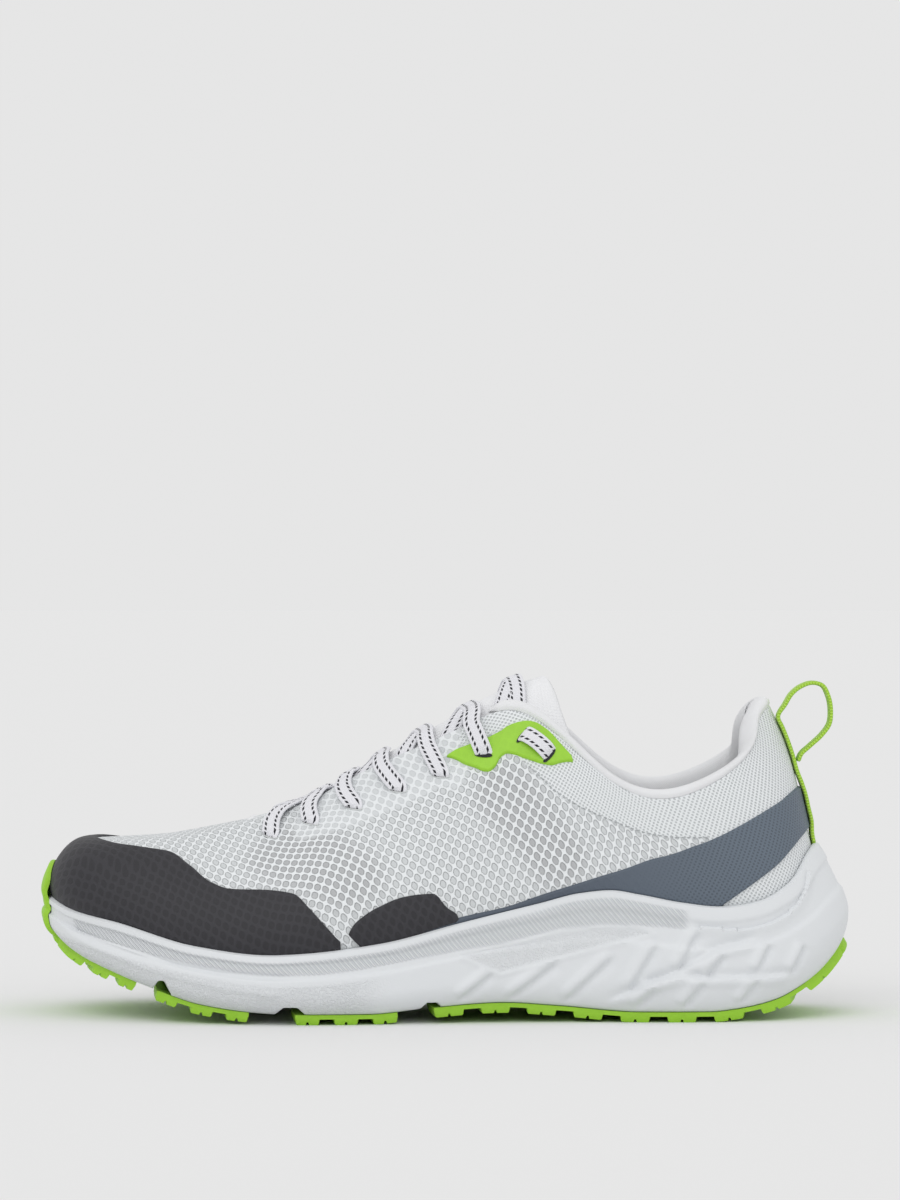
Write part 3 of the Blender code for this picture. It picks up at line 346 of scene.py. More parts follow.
def ease(rows, values, column=1):
    """Smooth values of a column along the first one, with no overshoot."""
    place = np.array([row[0] for row in rows], float)
    level = np.array([row[column] for row in rows], float)
    step = np.diff(place)
    slope = np.diff(level) / step
    tangent = np.concatenate([[slope[0]], np.zeros(len(slope) - 1), [slope[-1]]])
    rising = slope[:-1] * slope[1:] > 0
    mean = 2 * slope[:-1] * slope[1:] / np.where(rising, slope[:-1] + slope[1:], 1)
    tangent[1:-1] = np.where(rising, mean, 0.0)
    values = np.clip(np.asarray(values, float), place[0], place[-1])
    k = np.clip(np.searchsorted(place, values, "right") - 1, 0, len(step) - 1)
    f = (values - place[k]) / step[k]
    return hermite(f, level[k], step[k] * tangent[k], level[k + 1], step[k] * tangent[k + 1])


def unit(vectors):
    """Vectors made one long."""
    return vectors / np.maximum(np.linalg.norm(vectors, axis=-1, keepdims=True), 1e-12)


def run_of(points, axis=0):
    """Length run from the start of a grid of points, along one of its axes."""
    steps = np.linalg.norm(np.diff(points, axis=axis), axis=-1)
    start = np.zeros_like(np.take(steps, [0], axis=axis))
    return np.concatenate([start, np.cumsum(steps, axis=axis)], axis=axis)


def points_at(places, run, points):
    """Points at lengths along a path."""
    return np.stack([np.interp(places, run, points[:, i]) for i in range(3)], axis=-1)


def grid_normals(grid):
    """Directions square to a grid of points."""
    return unit(np.cross(np.gradient(grid, axis=0), np.gradient(grid, axis=1)))


def paired(first, second):
    """Two arrays of numbers brought to one shape."""
    return np.broadcast_arrays(np.asarray(first, float), np.asarray(second, float))


def round_weights(stations):
    """Weights of the closed loops' points at each station."""
    return spline_weights(COLUMNS, stations, True)


def across_ring(ring, shares):
    """Points from one side of a closed ring round the sole straight to the other."""
    half = len(ring) // 2
    near, far = ring[: half + 1], ring[(-np.arange(half + 1)) % len(ring)]
    return near[:, None] + (far - near)[:, None] * shares[None, :, None]


def smooth(f):
    """0 to 1 with a soft start and end."""
    f = np.clip(f, 0, 1)
    return f * f * (3 - 2 * f)


def share_of(x):
    """Share of the length from the heel at a place along the shoe."""
    return 0.5 - np.asarray(x) / LENGTH


def underside(x):
    """Height of the midsole's underside."""
    return TREAD + HEEL_HEIGHT * ease(UNDERSIDE, share_of(x))


def rim(x):
    """Height of the top of the midsole's side."""
    return np.maximum(HEEL_HEIGHT * ease(RIM, share_of(x)), footbed(x) + CUP_HEIGHT)


def footbed(x):
    """Height of the midsole's top, under the insole."""
    share = share_of(x)
    drop = (HEEL_STACK - BALL_STACK) * smooth((share - 0.36) / 0.30)
    return HEEL_STACK - drop + TOE_RISE * np.clip((share - 0.76) / 0.22, 0, 1) ** 1.7


def upper_loop(rows):
    """A loop's points: down the lateral side and back up the medial one."""
    lateral = [(row[0], row[1], row[3]) for row in rows]
    medial = [(row[0], row[2], row[-1]) for row in rows[-2:0:-1]]
    sizes = np.array([-LENGTH, BALL_WIDTH, HEEL_HEIGHT])
    return np.array(lateral + medial) * sizes + np.array([LENGTH / 2, 0, 0])


def level_normals(points):
    """Level directions that point out of a closed loop round the shoe."""
    along = np.roll(points, -1, axis=0) - np.roll(points, 1, axis=0)
    out = unit(np.stack([-along[:, 1], along[:, 0], 0 * along[:, 0]], axis=1))
    away = (out * (points - points.mean(axis=0))).sum() > 0
    return out if away else -out


# The lateral side is walked from heel to toe, so outwards is on this hand.
PLAN_TURN = -1.0
PLAN_LOOP = upper_loop([(*row[:3], 0.0) for row in PLAN])
INSETS = np.array([row[3] for row in PLAN + PLAN[-2:0:-1]])


def plan(stations, inset=0.0):
    """Points of the sole's outline, moved in by an inset."""
    weights = round_weights(stations)
    ahead = round_weights(np.asarray(stations) + 0.01)
    along = (ahead - weights) @ PLAN_LOOP
    out = np.stack([along[:, 1], -along[:, 0], 0 * along[:, 0]], axis=1)
    out *= PLAN_TURN / np.linalg.norm(out, axis=1)[:, None]
    return weights @ PLAN_LOOP - out * np.asarray(inset).reshape(-1, 1), out


def upper_net():
    """Control points of the upper: 22 columns of 5 points."""
    feather = PLAN_LOOP - level_normals(PLAN_LOOP) * INSETS[:, None]
    feather[:, 2] = footbed(feather[:, 0]) + GAP + FEATHER_LIFT
    return np.stack([feather] + [upper_loop(r) for r in (SIDE, FLANK, SHOULDER, EDGE)], axis=1)


NET = upper_net()
FINE = np.linspace(0, 1, 161)


def surface(stations, shares):
    """Points of the upper's outside at pairs of station and share, of any shape."""
    stations, shares = paired(stations, shares)
    across = round_weights(stations.ravel())
    up_weights = spline_weights(NET.shape[1], 4 * shares.ravel(), False)
    mixed = np.tensordot(across, NET, axes=(1, 0))
    return np.einsum("njc,nj->nc", mixed, up_weights).reshape(*stations.shape, 3)


def surface_normals(stations, shares):
    """Directions that point out of the upper at pairs of station and share."""
    step = 1e-3
    stations, shares = paired(stations, shares)
    along = surface(stations + step, shares) - surface(stations - step, shares)
    up = surface(stations, np.clip(shares + step, 0, 1)) - surface(stations, np.clip(shares - step, 0, 1))
    return unit(np.cross(up, along))


def columns_of(stations):
    """Fine points up each station's column, and the length run up to each."""
    points = surface(np.asarray(stations, float)[:, None], FINE[None, :])
    return points, run_of(points, 1)


def rim_shares(stations, over=0.0):
    """Share of each column where the upper leaves the midsole."""
    points, _ = columns_of(stations)
    above = points[:, :, 2] - rim(points[:, :, 0]) - over
    first = np.maximum(np.argmax(above > 0, axis=1), 1)
    rows = np.arange(len(first))
    f = -above[rows, first - 1] / (above[rows, first] - above[rows, first - 1])
    return FINE[first - 1] + f * (FINE[1] - FINE[0])


def wall_frames(stations, ups):
    """Points, outward and upward directions at distances up from the throat's edge."""
    stations, ups = paired(stations, ups)
    flat, height = stations.ravel(), ups.ravel()
    _, runs = columns_of(flat)
    wanted = runs[:, -1] + np.minimum(height, 0.0)
    shares = np.array([np.interp(w, run, FINE) for w, run in zip(wanted, runs)])
    points, out = surface(flat, shares), surface_normals(flat, shares)
    rise = surface(flat, np.minimum(shares + 0.01, 1)) - surface(flat, np.maximum(shares - 0.01, 0))
    rise = unit(rise)
    points = points + rise * np.maximum(height, 0.0)[:, None]
    shape = (*stations.shape, 3)
    return points.reshape(shape), out.reshape(shape), rise.reshape(shape)


def tongue_depth(stations):
    """How deep the tongue's top lies under the wall, deeper under the collar's bead."""
    return WALL + TONGUE_PLAY + TONGUE_DIP * smooth((6.3 - np.asarray(stations, float)) / 0.6)


def bridge(stations, across):
    """Points of the tongue's top, from -1 at the lateral edge to 1 at the medial."""
    stations, across = paired(stations, across)
    shape = (*stations.shape, 3)
    stations, across = stations.ravel(), across.ravel()[:, None]
    start, start_out, start_rise = wall_frames(stations, 0.0)
    end, end_out, end_rise = wall_frames(COLUMNS - stations, 0.0)
    depth = tongue_depth(stations)[:, None]
    start, end = start - start_out * depth, end - end_out * depth
    crown = CROWN + CROWN_REAR * smooth((6.4 - stations) / 1.3)
    pull = np.linalg.norm(end - start, axis=1, keepdims=True) * crown[:, None]
    f = (across + 1) / 2
    return hermite(f, start, pull * start_rise, end, -pull * end_rise).reshape(shape)


def over_tongue(stations, across, off):
    """Points off the tongue's top, and the directions away from it."""
    step = 0.02
    along = bridge(stations - step, across) - bridge(stations + step, across)
    side = bridge(stations, np.minimum(across + step, 1)) - bridge(stations, np.maximum(across - step, -1))
    out = unit(np.cross(along, side))
    return bridge(stations, across) + out * np.asarray(off)[..., None], out


def side_place(stations):
    """Station counted from the heel on either side."""
    stations = np.abs(np.asarray(stations, float)) % COLUMNS
    return np.minimum(stations, COLUMNS - stations)


def across_vamp(points, centre):
    """Length across the vamp from its middle line, in millimetres, on a side's grid.

    It is measured along sections square to the shoe, so that the mesh runs
    straight over the toes.
    """
    x = points[..., 0]
    levels = np.arange(-150, 21) / 1000
    found = np.full((len(levels), len(points)), np.nan)
    for row, level in enumerate(levels):
        valid = np.flatnonzero((x[:, 0] <= level) & (x[:, -1] >= level))
        if len(valid) < 2:
            continue
        hits = []
        for k in valid[::-1]:
            hits.append([np.interp(level, x[k], points[k, :, i]) for i in (1, 2)])
        hits = np.array(hits)
        start = abs(hits[0, 0] - np.interp(level, x[::-1, -1], centre[::-1]))
        if valid[-1] == len(points) - 1:
            start = 0.0
        found[row, valid[::-1]] = start + run_of(hits)
    across = np.zeros(x.shape)
    for k in range(len(points)):
        known = ~np.isnan(found[:, k])
        across[k] = np.interp(x[k], levels[known], found[known, k])
    steps = np.diff(points, axis=1)
    ahead = smooth((np.abs(steps[..., 0]) / np.linalg.norm(steps, axis=2) - 0.30) / 0.35)
    fall = ahead * -np.diff(across, axis=1) + (1 - ahead) * np.hypot(steps[..., 1], steps[..., 2])
    down = np.cumsum(fall[:, ::-1], axis=1)[:, ::-1]
    return across[:, -1:] + np.concatenate([down, np.zeros((len(x), 1))], axis=1)


PER_STATION = 20
PER_COLUMN = 80


def cloth_fields():
    """Length along and up the cloth in millimetres, on a grid of each side."""
    places = np.linspace(0, LAST_STATION, PER_STATION * LAST_STATION + 1)
    shares = np.linspace(0, 1, PER_COLUMN + 1)
    waist, vamp, join = 5 * PER_STATION, 6 * PER_STATION, round(6.9 * PER_STATION)
    sides = [surface(at[:, None], shares[None, :]) for at in (places, COLUMNS - places)]
    centre = (sides[0][:, -1, 1] + sides[1][:, -1, 1]) / 2
    fields = []
    for points in sides:
        run = run_of(points)
        front = smooth((places - 5) / 2)[:, None]
        middle = points[waist, PER_COLUMN // 2, 0]
        along = (1 - front) * (run[waist] - run) + front * (points[..., 0] - middle)
        up = run_of(points, 1)
        across = np.zeros(up.shape)
        across[vamp:] = across_vamp(points[vamp:], centre[vamp:])
        front = smooth((places - 6.3) / 1.2)[:, None]
        level = (across + up)[join].mean()
        fields.append((along, (1 - front) * up + front * (level - across)))
    return np.array(fields) * 1000


CLOTH = cloth_fields()


def cloth(stations, shares):
    """Cloth coordinates in millimetres at pairs of station and share."""
    stations, shares = paired(stations, shares)
    side = (stations % COLUMNS > LAST_STATION).astype(int)
    a, b = side_place(stations) * PER_STATION, np.clip(shares, 0, 1) * PER_COLUMN
    i = np.minimum(a.astype(int), PER_STATION * LAST_STATION - 1)
    j = np.minimum(b.astype(int), PER_COLUMN - 1)
    fa, fb = a - i, b - j
    found = []
    for k in (0, 1):
        low = CLOTH[side, k, i, j] * (1 - fa) + CLOTH[side, k, i + 1, j] * fa
        high = CLOTH[side, k, i, j + 1] * (1 - fa) + CLOTH[side, k, i + 1, j + 1] * fa
        found.append(low * (1 - fb) + high * fb)
    return np.stack(found, axis=-1)


def resample(points, count, axis, closed=False):
    """A smooth spline through points along one axis, at count even places."""
    size = points.shape[axis]
    params = np.linspace(0, size, count, endpoint=False) if closed else np.linspace(0, size - 1, count)
    weights = spline_weights(size, params, closed)
    return np.moveaxis(np.tensordot(weights, np.moveaxis(points, axis, 0), axes=(1, 0)), 0, axis)


def add_object(name, data):
    """A new object in the scene."""
    made = bpy.data.objects.new(name, data)
    bpy.context.scene.collection.objects.link(made)
    return made


FINISHES = {}


class Shell:
    """A mesh in the making, from grids of points with their cloth coordinates."""

    def __init__(self):
        self.points = []
        self.faces = []
        self.uv = []
        self.values = []
        self.finishes = []
        self.size = 0

    def grid(self, grid, uv, about, uv_end=None, closed=(False, False), values=None, finish=0,
             inwards=False):
        """Adds a grid of rows by columns, turned to look away from about or to it."""
        grid = np.asarray(grid, float)
        rows, columns = grid.shape[:2]
        i = np.arange(rows if closed[0] else rows - 1)
        j = np.arange(columns if closed[1] else columns - 1)
        a, b = (v.ravel() for v in np.meshgrid(i, j, indexing="ij"))
        c, d = (a + 1) % rows, (b + 1) % columns
        uv_end = uv if uv_end is None else uv_end
        corners = [(a, b, uv), (c, b, uv_end), (c, d, uv_end), (a, d, uv)]
        out = np.cross(grid[c, d] - grid[a, b], grid[a, d] - grid[c, b])
        about = np.broadcast_to(np.asarray(about, float), (rows, 3))
        if ((out * (grid[a, b] + grid[c, d] - 2 * about[a])).sum() < 0) != inwards:
            corners.reverse()
        self.faces += (np.stack([r * columns + q for r, q, _ in corners], axis=1) + self.size).tolist()
        self.uv.append(np.stack([field[r, q] for r, q, field in corners], axis=1).reshape(-1, 2))
        self.finishes += [finish] * len(a)
        self.add(grid.reshape(-1, 3), values)
        return self

    def add(self, points, values):
        self.points.append(points)
        self.values.append({k: np.asarray(v, float).ravel() for k, v in (values or {}).items()})
        self.size += len(points)

    def cap(self, ring, away, finish=0):
        """Closes a ring of points already in the mesh, seen from away."""
        points = np.concatenate(self.points)[ring]
        middle = points.mean(axis=0)
        area = np.cross(points - middle, np.roll(points, -1, axis=0) - middle).sum(axis=0)
        ring = list(ring) if area @ away > 0 else list(ring)[::-1]
        self.faces.append([int(v) for v in ring])
        self.uv.append(np.zeros((len(ring), 2)))
        self.finishes.append(finish)

    def tube(self, rings, uv):
        """Adds closed rings in a row and closes both ends."""
        first, size = self.size, rings.shape[1]
        middles = rings.mean(axis=1)
        self.grid(rings, uv, middles, closed=(False, True))
        self.cap(range(first, first + size), middles[0] - middles[1])
        self.cap(range(self.size - size, self.size), middles[-1] - middles[-2])

    def on_cloth(self, grid, places, shares, **settings):
        """Adds a grid on the upper's cloth, parted where its two ends meet at the heel."""
        start, end = cloth(places + SEAM_STEP, shares), cloth(places - SEAM_STEP, shares)
        self.grid(grid, start, INSIDE, uv_end=end, **settings)

    def flat(self, grid, about, **settings):
        """Adds a grid whose cloth coordinates are its places seen from above."""
        return self.grid(grid, grid[..., :2] * 1000, about, **settings)

    def make(self, name, finish, slot=None, replaces=(), weld=False, sharp=None):
        """The finished piece, which rides on the shoe."""
        mesh = bpy.data.meshes.new(name)
        mesh.from_pydata(np.concatenate(self.points).tolist(), [], self.faces)
        layer = mesh.uv_layers.new(name="cloth")
        layer.data.foreach_set("uv", np.concatenate(self.uv).ravel())
        for key in self.values[0]:
            attribute = mesh.attributes.new(key, "FLOAT", "POINT")
            numbers = np.concatenate([v[key] for v in self.values])
            attribute.data.foreach_set("value", numbers.astype(np.float32))
        for key in finish.split():
            mesh.materials.append(FINISHES[key])
        mesh.polygons.foreach_set("material_index", self.finishes)
        if weld:
            work = bmesh.new()
            work.from_mesh(mesh)
            bmesh.ops.remove_doubles(work, verts=work.verts, dist=2e-6)
            work.to_mesh(mesh)
            work.free()
        mesh.shade_smooth()
        if sharp:
            mesh.set_sharp_from_angle(angle=math.radians(sharp))
        made = add_object(name, mesh)
        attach(made, "root")
        if replaces:
            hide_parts(*replaces)
        return made


def smooth_path(points, spacing):
    """A smooth curve through points, sampled about every spacing."""
    points = np.asarray(points, float)
    step = np.linalg.norm(np.diff(points[:, :3], axis=0), axis=1)
    slope = np.diff(points, axis=0) / step[:, None]
    h, k = step[:-1, None], step[1:, None]
    tangent = np.concatenate([slope[:1], (slope[:-1] * k + slope[1:] * h) / (h + k), slope[-1:]])
    found = []
    for i, length in enumerate(step):
        count = max(2, int(math.ceil(length / spacing)))
        f = np.arange(count)[:, None] / count
        pulls = length * tangent[i], length * tangent[i + 1]
        found.append(hermite(f, points[i], pulls[0], points[i + 1], pulls[1]))
    return np.concatenate(found + [points[-1:]])


def add_band(shell, path, width, height, around=16, bluff=0.85):
    """Adds a flat band with soft edges along rows of a point and its outward direction."""
    points, out = path[:, :3], path[:, 3:]
    along = unit(np.gradient(points, axis=0))
    wide = unit(np.cross(along, out))
    thick = np.cross(wide, along)
    angle = np.linspace(0, 2 * math.pi, around, endpoint=False) + math.pi / around
    x = np.sign(np.cos(angle)) * np.abs(np.cos(angle)) ** 0.5
    y = np.sign(np.sin(angle)) * np.abs(np.sin(angle)) ** bluff
    size = np.ones(len(points))
    size[[0, -1]] = 0.7
    rings = points[:, None] + wide[:, None] * (x * width / 2)[:, None] * size[:, None, None]
    rings += thick[:, None] * (y * height / 2)[:, None] * size[:, None, None]
    run = run_of(points)[:, None] * 1000
    shell.tube(rings, np.stack(np.broadcast_arrays(run, (x * width * 500)[None, :]), axis=-1))


def thickened(grid, top, bottom):
    """Closed rings of a pad: its top from edge to edge and its bottom back again."""
    out = grid_normals(grid)
    return np.concatenate([grid + out * top[..., None], (grid + out * bottom[..., None])[:, ::-1]], axis=1)


class Value:
    """A number in a material's node tree, which takes plain arithmetic."""

    def __init__(self, tree, socket):
        self.tree = tree
        self.socket = socket

    def __add__(self, other):
        return self.tree.math("ADD", self, other)

    def __sub__(self, other):
        return self.tree.math("SUBTRACT", self, other)

    def __rsub__(self, other):
        return self.tree.math("SUBTRACT", other, self)

    def __mul__(self, other):
        return self.tree.math("MULTIPLY", self, other)

    def __abs__(self):
        return self.tree.math("ABSOLUTE", self)


class Tree:
    """A material's node tree, written in short calls."""

    def __init__(self, name, roughness=0.6, **settings):
        self.material = bpy.data.materials.new(name)
        self.material.use_nodes = True
        self.nodes = self.material.node_tree.nodes
        self.links = self.material.node_tree.links
        self.shader = self.nodes["Principled BSDF"]
        self.shader.inputs["Roughness"].default_value = roughness
        for key, value in settings.items():
            self.shader.inputs[key.replace("_", " ")].default_value = value

    def link(self, value, socket):
        """Gives a socket a value of the tree, a colour or a plain number."""
        if isinstance(value, Value):
            self.links.new(value.socket, socket)
        else:
            socket.default_value = (*value, 1.0) if isinstance(value, tuple) else value

    def node(self, kind, *values, output=0, named=(), **settings):
        """What comes out of a new node, with its inputs given in order or by name."""
        made = self.nodes.new(f"ShaderNode{kind}")
        for key, value in settings.items():
            setattr(made, key, value)
        for value, socket in zip(values, made.inputs):
            self.link(value, socket)
        for key, value in dict(named).items():
            self.link(value, made.inputs[key])
        return Value(self, made.outputs[output])

    def math(self, operation, *values):
        return self.node("Math", *values, operation=operation)

    def soft(self, value, low, high):
        """0 to 1 as value goes from low to high, with a soft start and end."""
        return self.node("MapRange", value, low, high, interpolation_type="SMOOTHSTEP")

    def stripe(self, value, width, blur):
        """1 where a value is within half a width of 0."""
        return self.soft(abs(value), width / 2 + blur, width / 2 - blur)

    def wave(self, value, pitch, kind="SINE"):
        return self.math(kind, value * (2 * math.pi / pitch))

    def number(self, name):
        return self.node("Attribute", attribute_name=name, output="Fac")

    def place(self):
        """Cloth coordinates in millimetres."""
        cloth_map = self.node("UVMap", uv_map="cloth")
        return [self.node("SeparateXYZ", cloth_map, output=i) for i in (0, 1)]

    def weave_place(self):
        """Cloth coordinates that lean a little, as the mesh does in the photo."""
        u, v = self.place()
        return u + v * LEAN, v + u * TILT

    def noise(self, scale, detail=3.0, roughness=0.5):
        """Noise in the shoe's own space, scale in cells per metre."""
        vector = self.node("TexCoord", output="Object")
        named = {"Vector": vector, "Scale": scale, "Detail": detail, "Roughness": roughness}
        return self.node("TexNoise", named=named, output="Fac")

    def mix(self, factor, low, high, kind="RGBA"):
        """A colour or a number between two others."""
        named = {"Factor": factor, "A": low, "B": high}
        return self.node("Mix", named=named, output="Result", data_type=kind)

    def wavy_ribs(self, u, v, low=0.42, high=0.98):
        """Ribs that swing to and fro and touch: 1 on a rib, 0 in an eye."""
        swing = self.wave(v, EYE_TALL) * (EYE_ACROSS / 4 - RIB * 0.32)
        half = EYE_ACROSS / 2
        first = self.soft(abs(self.math("WRAP", u - swing, half, -half)), RIB, 0)
        second = self.soft(abs(self.math("WRAP", u - half + swing, half, -half)), RIB, 0)
        return self.soft(first + second, low, high)

    def pits(self, u, v, pitch, low=0.15, high=0.7):
        """Small round pits in a staggered lattice: 1 in a pit."""
        return self.soft(self.wave(u, pitch, "COSINE") * self.wave(v, pitch, "COSINE"), low, high)

    def finish(self, colour, height, metres):
        """The material, painted and raised by a height of 0 to 1 times metres."""
        self.link(colour, self.shader.inputs["Base Color"])
        named = {"Strength": 1.0, "Distance": metres, "Height": height}
        self.links.new(self.node("Bump", named=named).socket, self.shader.inputs["Normal"])
        return self.material


def shade(colour, factor):
    """A colour made darker or lighter."""
    return tuple(c * factor for c in colour)


def mesh_material():
    """White mesh: open eyes between ribs, fine pits at the quarter, film at the throat. The eyes are painted
    darker, partly for the layer under the mesh and partly as painted shade in the openings, and the pits are
    painted darker as painted shade.
    """
    tree = Tree("mesh_white", 0.62)
    u, v = tree.weave_place()
    ribs, pits = tree.wavy_ribs(u, v), tree.pits(u, v, PIT)
    film, fine, dark = (tree.number(name) for name in ("film", "fine", "dark"))
    lining = tree.noise(2400, 2.0)
    # The eyes' colours: the layer seen under the mesh, with painted shade inside the openings.
    eye = tree.mix(dark, (0.635, 0.66, 0.67), (0.46, 0.47, 0.48))
    eye = tree.mix(film * 0.75, eye, (0.69, 0.715, 0.73))
    eye = tree.mix(lining * 0.2, eye, (0.34, 0.35, 0.36))
    open_mesh = tree.mix(ribs, eye, (0.80, 0.825, 0.84))
    # The fine mesh is painted darker in its pits: painted shade.
    closed = tree.mix(pits, (0.79, 0.815, 0.83), (0.55, 0.575, 0.585))
    height = tree.mix(fine, ribs * (1.0 - film * 0.6), 1.0 - pits * 0.45, "FLOAT")
    return tree.finish(tree.mix(fine, open_mesh, closed), height + lining * 0.08, 0.00055)


def film_material(name, colour, far=None, roughness=0.5, ribs=0.5, pits=0.0, relief_shade=RELIEF_SHADE):
    """Welded film that shows the mesh under it as a low relief, painted darker in the relief's hollows and
    pits as painted shade.
    """
    tree = Tree(name, roughness, Specular_IOR_Level=0.35)
    u, v = tree.weave_place()
    relief = tree.wavy_ribs(u, v)
    height = relief * ribs
    if far:
        rear = tree.number("rear")
        shaded_pits = tree.pits(u, v, PIT) * tree.soft(rear, 0.25, 0.75)
        # The pits are painted darker: painted shade in them.
        base = tree.mix(shaded_pits * 0.85, tree.mix(rear, colour, far), shade(far, 0.60))
        height = height * (1.0 - tree.soft(rear, 0.2, 0.6)) - shaded_pits * pits
    else:
        base = tree.mix(tree.noise(90), shade(colour, 0.90), shade(colour, 1.08))
        # The relief's hollows are painted darker: painted shade.
        base = tree.mix(relief * relief_shade + (1 - relief_shade), shade(colour, 0.7), base)
    return tree.finish(base, height + tree.noise(5200, 2.0) * 0.15, 0.00016)


def foam_material():
    """White midsole foam: hatched band, pebbled fields and a fine skin, with painted shade in the hatch's
    grooves.
    """
    tree = Tree("foam_white", 0.48, Specular_IOR_Level=0.4)
    u, v = tree.place()
    hatch, pebble = tree.number("hatch"), tree.number("pebble")
    lines = tree.soft(tree.wave(u + v * HATCH_SLANT, HATCH_PITCH), -0.6, 0.6) * hatch
    bumps = tree.soft(tree.noise(1500, 2.0, 0.6), 0.38, 0.66) * pebble
    height = lines * 1.1 + bumps * 0.6 + tree.noise(5200, 3.0, 0.6) * 0.07
    # Between the hatch's ridges the foam is painted darker: painted shade in the grooves.
    base = tree.mix((hatch - lines) * 0.42, (0.740, 0.760, 0.780), (0.48, 0.505, 0.54))
    return tree.finish(base, height, 0.00035)


def knit_material(name, colour, pitch=0.75, depth=0.00010, roughness=0.85):
    """Smooth knit for lining and tongue."""
    tree = Tree(name, roughness, Specular_IOR_Level=0.25, Sheen_Weight=0.15)
    u, v = tree.place()
    soft = tree.noise(160, 4.0)
    height = tree.wave(u, pitch) * tree.wave(v, pitch) * 0.5 + soft * 0.8
    return tree.finish(tree.mix(soft, shade(colour, 0.95), colour), height, depth)


def rubber_material():
    """Matt lime rubber with a fine moulded grain."""
    tree = Tree("rubber_lime", 0.55, Specular_IOR_Level=0.4)
    base = tree.mix(tree.noise(120), (0.300, 0.590, 0.030), (0.350, 0.660, 0.042))
    return tree.finish(base, tree.noise(3500, 3.0, 0.6), 0.00006)


def lace_material():
    """White flat lace with two rows of slanted black dashes."""
    tree = Tree("lace_white", 0.8, Specular_IOR_Level=0.25, Sheen_Weight=0.2)
    u, v = tree.place()
    edge = abs(v)
    beat = tree.math("WRAP", u + v * DASH_LEAN, DASH_PITCH / 2, -DASH_PITCH / 2)
    row = tree.stripe(edge - LACE_WIDTH * 1000 * DASH_ROW, DASH_WIDE, 0.12)
    dashes = tree.stripe(beat, DASH_LONG, 0.12) * row
    weave = (tree.wave(u + edge, 0.9) + tree.wave(u - edge, 0.9)) * 0.5
    return tree.finish(tree.mix(dashes, (0.83, 0.83, 0.87), (0.012, 0.012, 0.018)), weave, 0.00009)


def webbing_material():
    """Lime webbing: ribbed weave with olive edges."""
    tree = Tree("webbing_lime", 0.75, Specular_IOR_Level=0.25, Sheen_Weight=0.2)
    u, v = tree.place()
    beat = tree.wave(u, 1.1)
    weave = beat * tree.wave(v, 1.3)
    edge = tree.stripe(abs(v) - (LOOP_WIDTH * 500 - 0.9), 0.6, 0.15) * tree.soft(beat, -0.6, 0.2)
    base = tree.mix(tree.soft(weave, -0.3, 0.5), (0.38, 0.66, 0.045), (0.50, 0.80, 0.11))
    return tree.finish(tree.mix(edge * 0.8, base, (0.15, 0.24, 0.025)), weave, 0.00016)


def plain_material(name, colour, roughness):
    """A finish with a fine grain, for thread painted grey as painted shade, the painted shadow in the
    eyelets' slots and small trim.
    """
    tree = Tree(name, roughness, Specular_IOR_Level=0.3)
    speck = tree.noise(4000, 2.0)
    return tree.finish(tree.mix(speck, shade(colour, 0.9), colour), speck, 0.00004)


def sock_material():
    """Grey insole cloth with small holes, painted dark in the holes as painted shade."""
    tree = Tree("sock_grey", 0.9, Specular_IOR_Level=0.2)
    holes = tree.pits(*tree.place(), 7.0, 0.86, 0.93)
    knit = tree.noise(2600, 2.0)
    base = tree.mix(knit, (0.50, 0.51, 0.53), (0.62, 0.63, 0.65))
    # The holes are painted dark: painted shade in them.
    return tree.finish(tree.mix(holes, base, (0.10, 0.10, 0.11)), knit * 0.3 - holes, 0.0004)


# Zones of the upper's cloth: share of the column above which each one starts
FILM_ZONE = (
    # station, share
    (0.00, 1.20), (5.62, 1.20), (5.72, 0.79), (5.80, 0.700), (6.05, 0.746), (6.25, 0.733),
    (6.60, 0.708), (7.02, 0.683), (7.40, 0.679), (7.58, 0.740), (7.90, 0.880), (8.40, 0.950),
    (11.0, 0.955),
)
FINE_ZONE = (
    (0.00, -0.10), (2.40, -0.10), (2.52, 0.300), (2.62, 0.612), (3.20, 0.679), (3.70, 0.658),
    (4.05, 0.638), (4.28, 0.629), (4.50, 0.638), (4.75, 0.683), (4.93, 0.725), (5.08, 0.810),
    (5.25, 0.880), (5.90, 0.900), (6.05, 1.200), (11.0, 1.200),
)
DARK_BANDS = (
    # station, share, station, share, half width in millimetres
    (7.60, 0.654, 6.75, 0.471, 11.0), (5.22, 0.638, 4.50, 0.404, 9.0),
)
PATCH = (
    # station, low, high: the lime patch at the top eyelets
    (4.37, 0.880, 0.900), (4.40, 0.868, 0.933), (4.50, 0.818, 0.952), (4.62, 0.767, 0.976),
    (4.70, 0.756, 0.986), (4.80, 0.750, 0.986), (4.95, 0.754, 0.968), (5.08, 0.767, 0.942),
    (5.20, 0.775, 0.921), (5.28, 0.762, 0.905), (5.33, 0.731, 0.893), (5.40, 0.720, 0.888),
    (5.48, 0.729, 0.883), (5.62, 0.763, 0.888), (5.78, 0.803, 0.893), (5.95, 0.856, 0.900),
    (6.06, 0.884, 0.892),
)
BAND = (
    # station, low, high: the slate band as the photo shows it
    (0.00, 0.485, 0.638), (0.40, 0.483, 0.638), (0.85, 0.471, 0.630), (1.30, 0.438, 0.617),
    (1.60, 0.400, 0.612), (2.02, 0.338, 0.608), (2.33, 0.271, 0.610), (2.60, 0.188, 0.612),
    (2.78, 0.120, 0.612), (3.30, None, 0.542), (3.80, None, 0.412), (4.28, None, 0.321),
    (4.70, None, 0.267), (5.12, None, 0.225), (5.58, None, 0.212), (6.22, None, 0.160),
)

# Rows of the upper: on its outside, over its edge and on its inside
OUTER_ROWS = 72
EDGE_TURNS = (0.8, 1.57, 2.34)
INNER_ROWS = 16


def zone(table, stations, shares, soft):
    """0 to 1 as a point goes above a zone's lower border."""
    return smooth((shares - ease(table, side_place(stations))) / soft)


